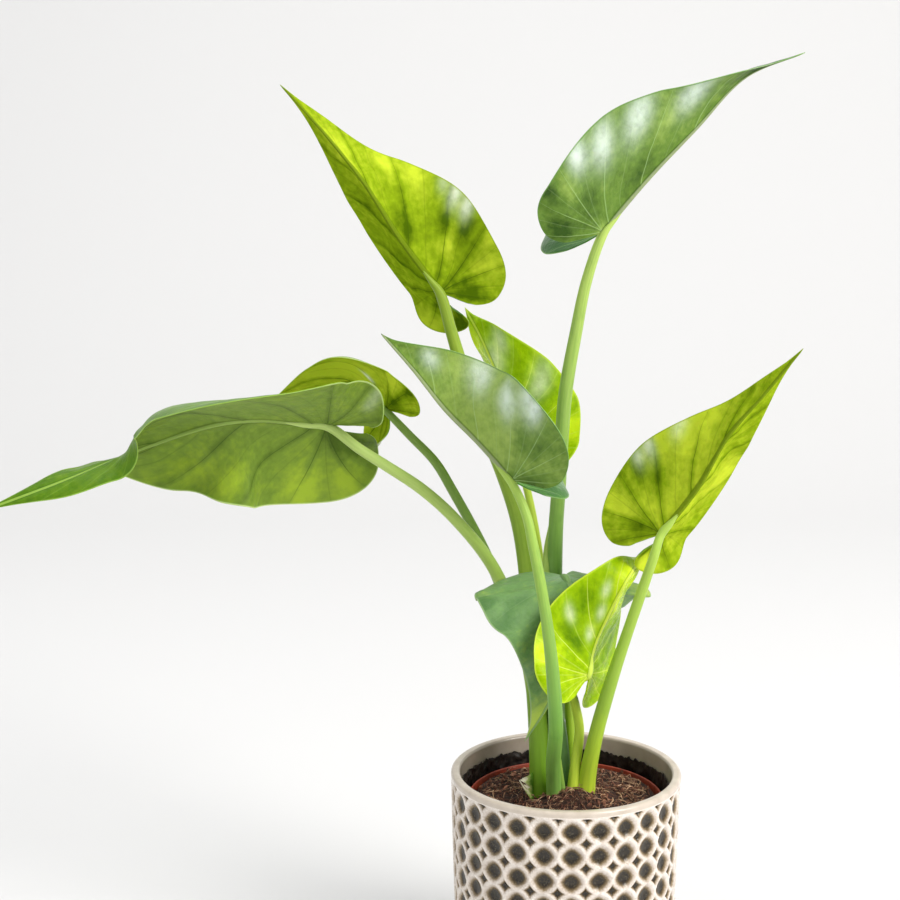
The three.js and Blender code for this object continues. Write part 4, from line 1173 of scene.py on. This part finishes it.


# Each finish gives its deep, middle and light tones, then its vein, midrib, painted sheen and margin
# colours.
TISSUE = {
    "sunlit_under": leaf_tissue(
        "sunlit_underside", ("#4a6408", "#86a016", "#c0d034"), "#41590c", "#70851c", "#eef3e6", "#8fa024",
        rough=0.36, gloss=0.0),
    "sunlit_over": leaf_tissue(
        "sunlit_upper_face", ("#4d7518", "#6c9622", "#9aba3a"), "#9dbb52", "#a9c466", "#dfeccb", "#b6cc63",
        halo=-0.1, rough=0.32, coat=0.3),
    "waxy_under": leaf_tissue(
        "waxy_underside", ("#324f16", "#658434", "#98b056"), "#a6c182", "#9aa67c", "#dde8e2", "#5f7f44",
        halo=0.0, line=0.45, gloss=0.12),
    "waxy_over": leaf_tissue(
        "dark_upper_face", ("#2f5f22", "#42752c", "#5d8d3d"), "#7ea75a", "#8db267", "#bcd3b4", "#7fa35c",
        halo=-0.1, rough=0.34, coat=0.25),
    "new_over": leaf_tissue(
        "new_glossy_face", ("#5a8200", "#90b404", "#c8e020"), "#d0e064", "#d4e452", "#f4f8de", "#c0d640",
        halo=-0.1, rough=0.24, coat=0.08, gloss=0.04),
    "new_under": leaf_tissue(
        "new_underside", ("#64840a", "#8cac14", "#bad034"), "#6e8c16", "#b4c850", "#e3edc4", "#a8c040",
        gloss=0.0),
    "olive_under": leaf_tissue(
        "olive_underside", ("#536b22", "#748e34", "#9cb436"), "#40581a", "#9cb560", "#d9e4c4", "#c8d896",
        gloss=0.08),
    "olive_over": leaf_tissue(
        "green_upper_face", ("#355c0c", "#557c12", "#78981e"), "#86ae40", "#94b64c", "#cfe0bf", "#98b850",
        halo=-0.1, rough=0.34, gloss=0.15),
    "blue_over": leaf_tissue(
        "blue_green_upper_face", ("#527a40", "#709658", "#adc454"), "#7d9c66", "#83a26c", "#b4c8ba",
        "#9bb184", halo=0.05, line=0.3, rough=0.5),
    "blue_under": leaf_tissue(
        "blue_green_underside", ("#5d8a48", "#7ba266", "#b5c860"), "#8db07a", "#93b57c", "#bcd2c4",
        "#b7c99c", halo=0.05, line=0.3, rough=0.5),
}
FACES = {
    "left_high": ("sunlit", "leaf_mid"),
    "right_mid": ("sunlit", "leaf_mid"),
    "right_high": ("waxy", "leaf_old"),
    "middle_front": ("waxy", "leaf_old"),
    "middle_back": ("new", "leaf_lime"),
    "low_right": ("new", "leaf_lime"),
    "left_long": ("olive", "leaf_mid"),
    "left_back": ("sunlit", "leaf_mid"),
    "low_middle": ("blue", "leaf_old"),
}

# %% Blades
for seed, (name, leaf) in enumerate(LEAVES.items()):
    tissue, slot = FACES[name]
    blade = make_blade(name, leaf, 20 + 3 * seed, TISSUE[tissue + "_over"], TISSUE[tissue + "_under"])
    settle(blade, [f"blade_{name}"], 60)

# %% [markdown]
# ## The stalks
# A stalk is a fleshy tube. It is thick where it sheathes its neighbours in the coir and thin where it
# joins the blade, and there it flattens and runs on as the midrib. Each is a grid rolled along its
# route, and its upper end follows the underside of the midrib.

# %% Stalk piece
STALK_SIDES = 28
STALK_ROWS = 110
CLASP_HEIGHT = 22


def make_tube(name, route, radii, tail_start, tail_radius, clasp=0.0):
    """A tapering tube along a route in millimetres. From tail_start on it narrows to tail_radius, and
    clasp widens the foot where it sheathes its neighbours."""
    places, along, length = curve_through(route, STALK_ROWS)
    side = carried((0, -1, 0), along)
    other = np.cross(along, side)
    piece, u, v = flat_grid(name, STALK_SIDES, STALK_ROWS)
    row = np.rint(v * STALK_ROWS).astype(int)
    turn = 2 * math.pi * u
    share = row / STALK_ROWS
    radius = through(radii, share)
    radius = radius + (tail_radius - radius) * smooth((share - tail_start) / (1 - tail_start))
    radius = radius + clasp * np.exp(-np.maximum(places[row][:, 2] - soil_top, 0) / CLASP_HEIGHT)
    ribbing = 1 + 0.015 * np.sin(9 * turn) + 0.012 * np.sin(14 * turn + 3 * share)
    out = side[row] * np.cos(turn)[:, None] + other[row] * np.sin(turn)[:, None]
    closed = np.where((row == 0) | (row == STALK_ROWS), 0.0, 1.0)
    move_to(piece, (places[row] + out * (radius * ribbing * closed)[:, None]) * MM)
    paint(piece, "rise", share)
    paint(piece, "flat", np.stack([np.cos(turn) * 4, np.sin(turn) * 4, share * length], axis=1) * MM)
    weld(piece)
    return piece


def stalk_route(leaf):
    places, _, up, _ = blade_frames(leaf)
    onward = [places[i] - up[i] * drop for i, drop in ((0, 0.9), (4, 0.8), (8, 0.5))]
    return [np.array(p, dtype=float) for p in leaf["route"]] + onward


def stalk_flesh(name, foot, middle, top, streak):
    """Fleshy stalk skin: a colour that drifts from foot to top, with lengthwise streaks of 1.2 mm."""
    material, tree, surface = new_material(name)
    rise = add_node(tree, ATTRIBUTE, {"attribute_name": "rise"}).outputs["Fac"]
    flat = add_node(tree, ATTRIBUTE, {"attribute_name": "flat"}).outputs["Vector"]
    shown = add_node(tree, RAMP, None, {"Fac": rise}, [(0.03, foot), (0.4, middle), (0.95, top)])
    stretch = add_node(tree, MAPPING, None, {"Vector": flat, "Scale": (1.0, 1.0, 0.05)})
    streaks = add_node(tree, NOISE, None, {
        "Vector": stretch, "Scale": 1000 / 1.2, "Detail": 3.0, "Roughness": 0.6})
    blotch = add_node(tree, NOISE, None, {"Vector": flat, "Scale": 1000 / 9, "Detail": 3.0})
    for grain, start, end, most in ((streaks, 0.35, 0.75, 0.35), (blotch, 0.55, 0.8, 0.25)):
        faint = add_node(tree, RANGE, SOFT_STEP, {
            "Value": grain, "From Min": start, "From Max": end, "To Max": most})
        shown = add_node(tree, MIX, COLOURS, {SHARE: faint, UNDER: shown, OVER: paint_colour(streak)})
    bump = add_node(tree, BUMP, None, {"Height": streaks, "Strength": 0.2, "Distance": 0.0003})
    fill_inputs(tree, surface, {
        "Base Color": shown, "Normal": bump, "Roughness": 0.38, "IOR": 1.42, "Subsurface Weight": 0.2,
        "Subsurface Radius": (0.8, 1.0, 0.3), "Subsurface Scale": 0.003, "Specular IOR Level": 0.25,
    })
    return material


STALK_COLOURS = {
    "left_high": ("#6a961e", "#8aa83c", "#90a838", "#5f8020"),
    "right_high": ("#5f8a3c", "#6f9a44", "#b4cc68", "#5a8638"),
    "middle_back": ("#8fb52c", "#a9c43c", "#bcd054", "#94b038"),
    "right_mid": ("#d0e63c", "#98ba40", "#a8c458", "#86a838"),
    "middle_front": ("#86b454", "#78a648", "#aac65c", "#5f9040"),
    "low_right": ("#cbe048", "#c0d646", "#cadf58", "#a8c434"),
    "left_long": ("#84a444", "#9cb856", "#b6cc78", "#8caa4a"),
    "left_back": ("#64883a", "#6a8c3a", "#84a04e", "#567a2e"),
    "low_middle": ("#587f44", "#6a9052", "#80a262", "#54793f"),
}
CLASPS = {"right_mid": 2.2, "left_high": 2.0, "low_right": 1.2}
DARK_STALKS = ("right_high", "middle_front", "left_back")
for name, leaf in LEAVES.items():
    flesh = stalk_flesh(f"{name}_stalk_skin", *STALK_COLOURS[name])
    slot = "stalk_dark" if name in DARK_STALKS else "stalk_light"
    clasp = CLASPS.get(name, 0.0)
    stalk = make_tube(f"stalk_{name}_skin", stalk_route(leaf), leaf["radii"], 0.93, 0.6, clasp)
    stalk.data.materials.append(flesh)
    settle(stalk, [f"stalk_{name}"], 60)
    if "wing" in leaf:
        wing = make_tube(f"stalk_{name}_wing", leaf["wing"]["route"], leaf["wing"]["radii"], 0.85, 0.2)
        wing.data.materials.append(flesh)
        settle(wing, (), 60)

# %% [markdown]
# ## A dry scale
# The oldest sheath has dried to a pale papery flap at the foot of the upper left leaf's stalk. It is a
# small grid that reaches from the stalk to a ragged tip.

# %% Dry scale
SCALE_LOW, SCALE_HIGH, SCALE_TIP = (np.array(p, dtype=float) for p in (
    (-17.0, -4.5, 105), (-18.5, -1, 124), (-26.5, -5.5, 120.5)))
SCALE_THICK = 0.4
scale, u, v = flat_grid("dry_scale", 14, 12)
reach = u * (0.72 + 0.28 * np.sin(13 * v + 1.5) * np.cos(5 * v))
foot = SCALE_LOW + (SCALE_HIGH - SCALE_LOW) * v[:, None]
flap = foot + (SCALE_TIP - foot) * reach[:, None]
flap[:, 1] -= 2.0 * np.sin(math.pi * u) + 0.5 * np.sin(9 * v + 4 * u)
move_to(scale, flap * MM)
paint(scale, "reach", u)
thicken(scale, SCALE_THICK)


# %% Dry scale finish
def dry_sheath():
    """Dried leaf sheath: papery and dull, green where it joins the stalk and cream at its tip."""
    material, tree, surface = new_material("dry_leaf_sheath")
    reach = add_node(tree, ATTRIBUTE, {"attribute_name": "reach"}).outputs["Fac"]
    place = add_node(tree, "ShaderNodeTexCoord").outputs["Object"]
    grain = add_node(tree, NOISE, None, {
        "Vector": place, "Scale": 1000 / 1.5, "Detail": 3.0, "Roughness": 0.6})
    tone = add_node(tree, MATH, MULTIPLY_ADD, {0: grain, 1: 0.5, 2: reach})
    shown = add_node(tree, RAMP, None, {"Fac": tone}, [
        (0.45, "#4f7a1a"), (0.8, "#a9b868"), (1.15, "#ece6cc")])
    bump = add_node(tree, BUMP, None, {"Height": grain, "Strength": 0.4, "Distance": 0.0005})
    fill_inputs(tree, surface, {
        "Base Color": shown, "Normal": bump, "Roughness": 0.65, "Specular IOR Level": 0.2})
    return material


scale.data.materials.append(dry_sheath())
settle(scale, (), 60)

# %% [markdown]
# ## The studio
# The plant stands on a pale table in front of a pale wall, in soft light. One large lamp stands to the
# right and in front, a wide one hangs above, and a faint one on the left softens the shadows. The
# floor runs up into the wall in a curve, so that no line shows behind the plant.

# %% Floor and wall
SWEEP_START, SWEEP_RADIUS, WALL_HEIGHT = 1.1, 0.8, 3.2
sweep, u, v = flat_grid("studio_floor", 8, 60)
along = v * 60
floor_y = np.where(along <= 20, -3 + along / 20 * (3 + SWEEP_START), SWEEP_START)
bend = np.clip((along - 20) / 20, 0, 1) * math.pi / 2
floor_y = floor_y + SWEEP_RADIUS * np.sin(bend)
floor_z = SWEEP_RADIUS * (1 - np.cos(bend)) + np.clip((along - 40) / 20, 0, 1) * WALL_HEIGHT
move_to(sweep, np.stack([(u - 0.5) * 8, floor_y, floor_z], axis=1))
only(sweep)
bpy.ops.object.shade_smooth()
paper, tree, surface = new_material("studio_paper")
fill_inputs(tree, surface, {"Base Color": paint_colour("#dedede"), "Roughness": 0.8})
sweep.data.materials.append(paper)


# %% Lights
def soft_lamp(name, place, aim, size, power, tint):
    bpy.ops.object.light_add(type="AREA", location=place)
    lamp = bpy.context.object
    lamp.name = name
    lamp.data.shape = "RECTANGLE"
    lamp.data.size, lamp.data.size_y = size
    lamp.data.energy = power
    lamp.data.color = paint_colour(tint)[:3]
    lamp.rotation_euler = (Vector(aim) - Vector(place)).to_track_quat("-Z", "Y").to_euler()


soft_lamp("window", (1.5, -1.1, 1.5), (0, 0, 0.25), (1.2, 1.4), 48, "#fffcf8")
soft_lamp("overhead", (-0.3, 0.3, 2.1), (0, 0, 0.2), (1.8, 1.4), 17, "#ffffff")
soft_lamp("left_fill", (-1.6, -0.9, 0.9), (0, 0, 0.3), (1.2, 1.2), 3, "#f8faff")
world = bpy.data.worlds.new("studio_air")
bpy.context.scene.world = world
world.use_nodes = True
air = world.node_tree
fill_inputs(air, air.nodes["Background"], {"Color": paint_colour("#ffffff"), "Strength": 0.68})
bpy.context.scene.view_settings.view_transform = "Standard"
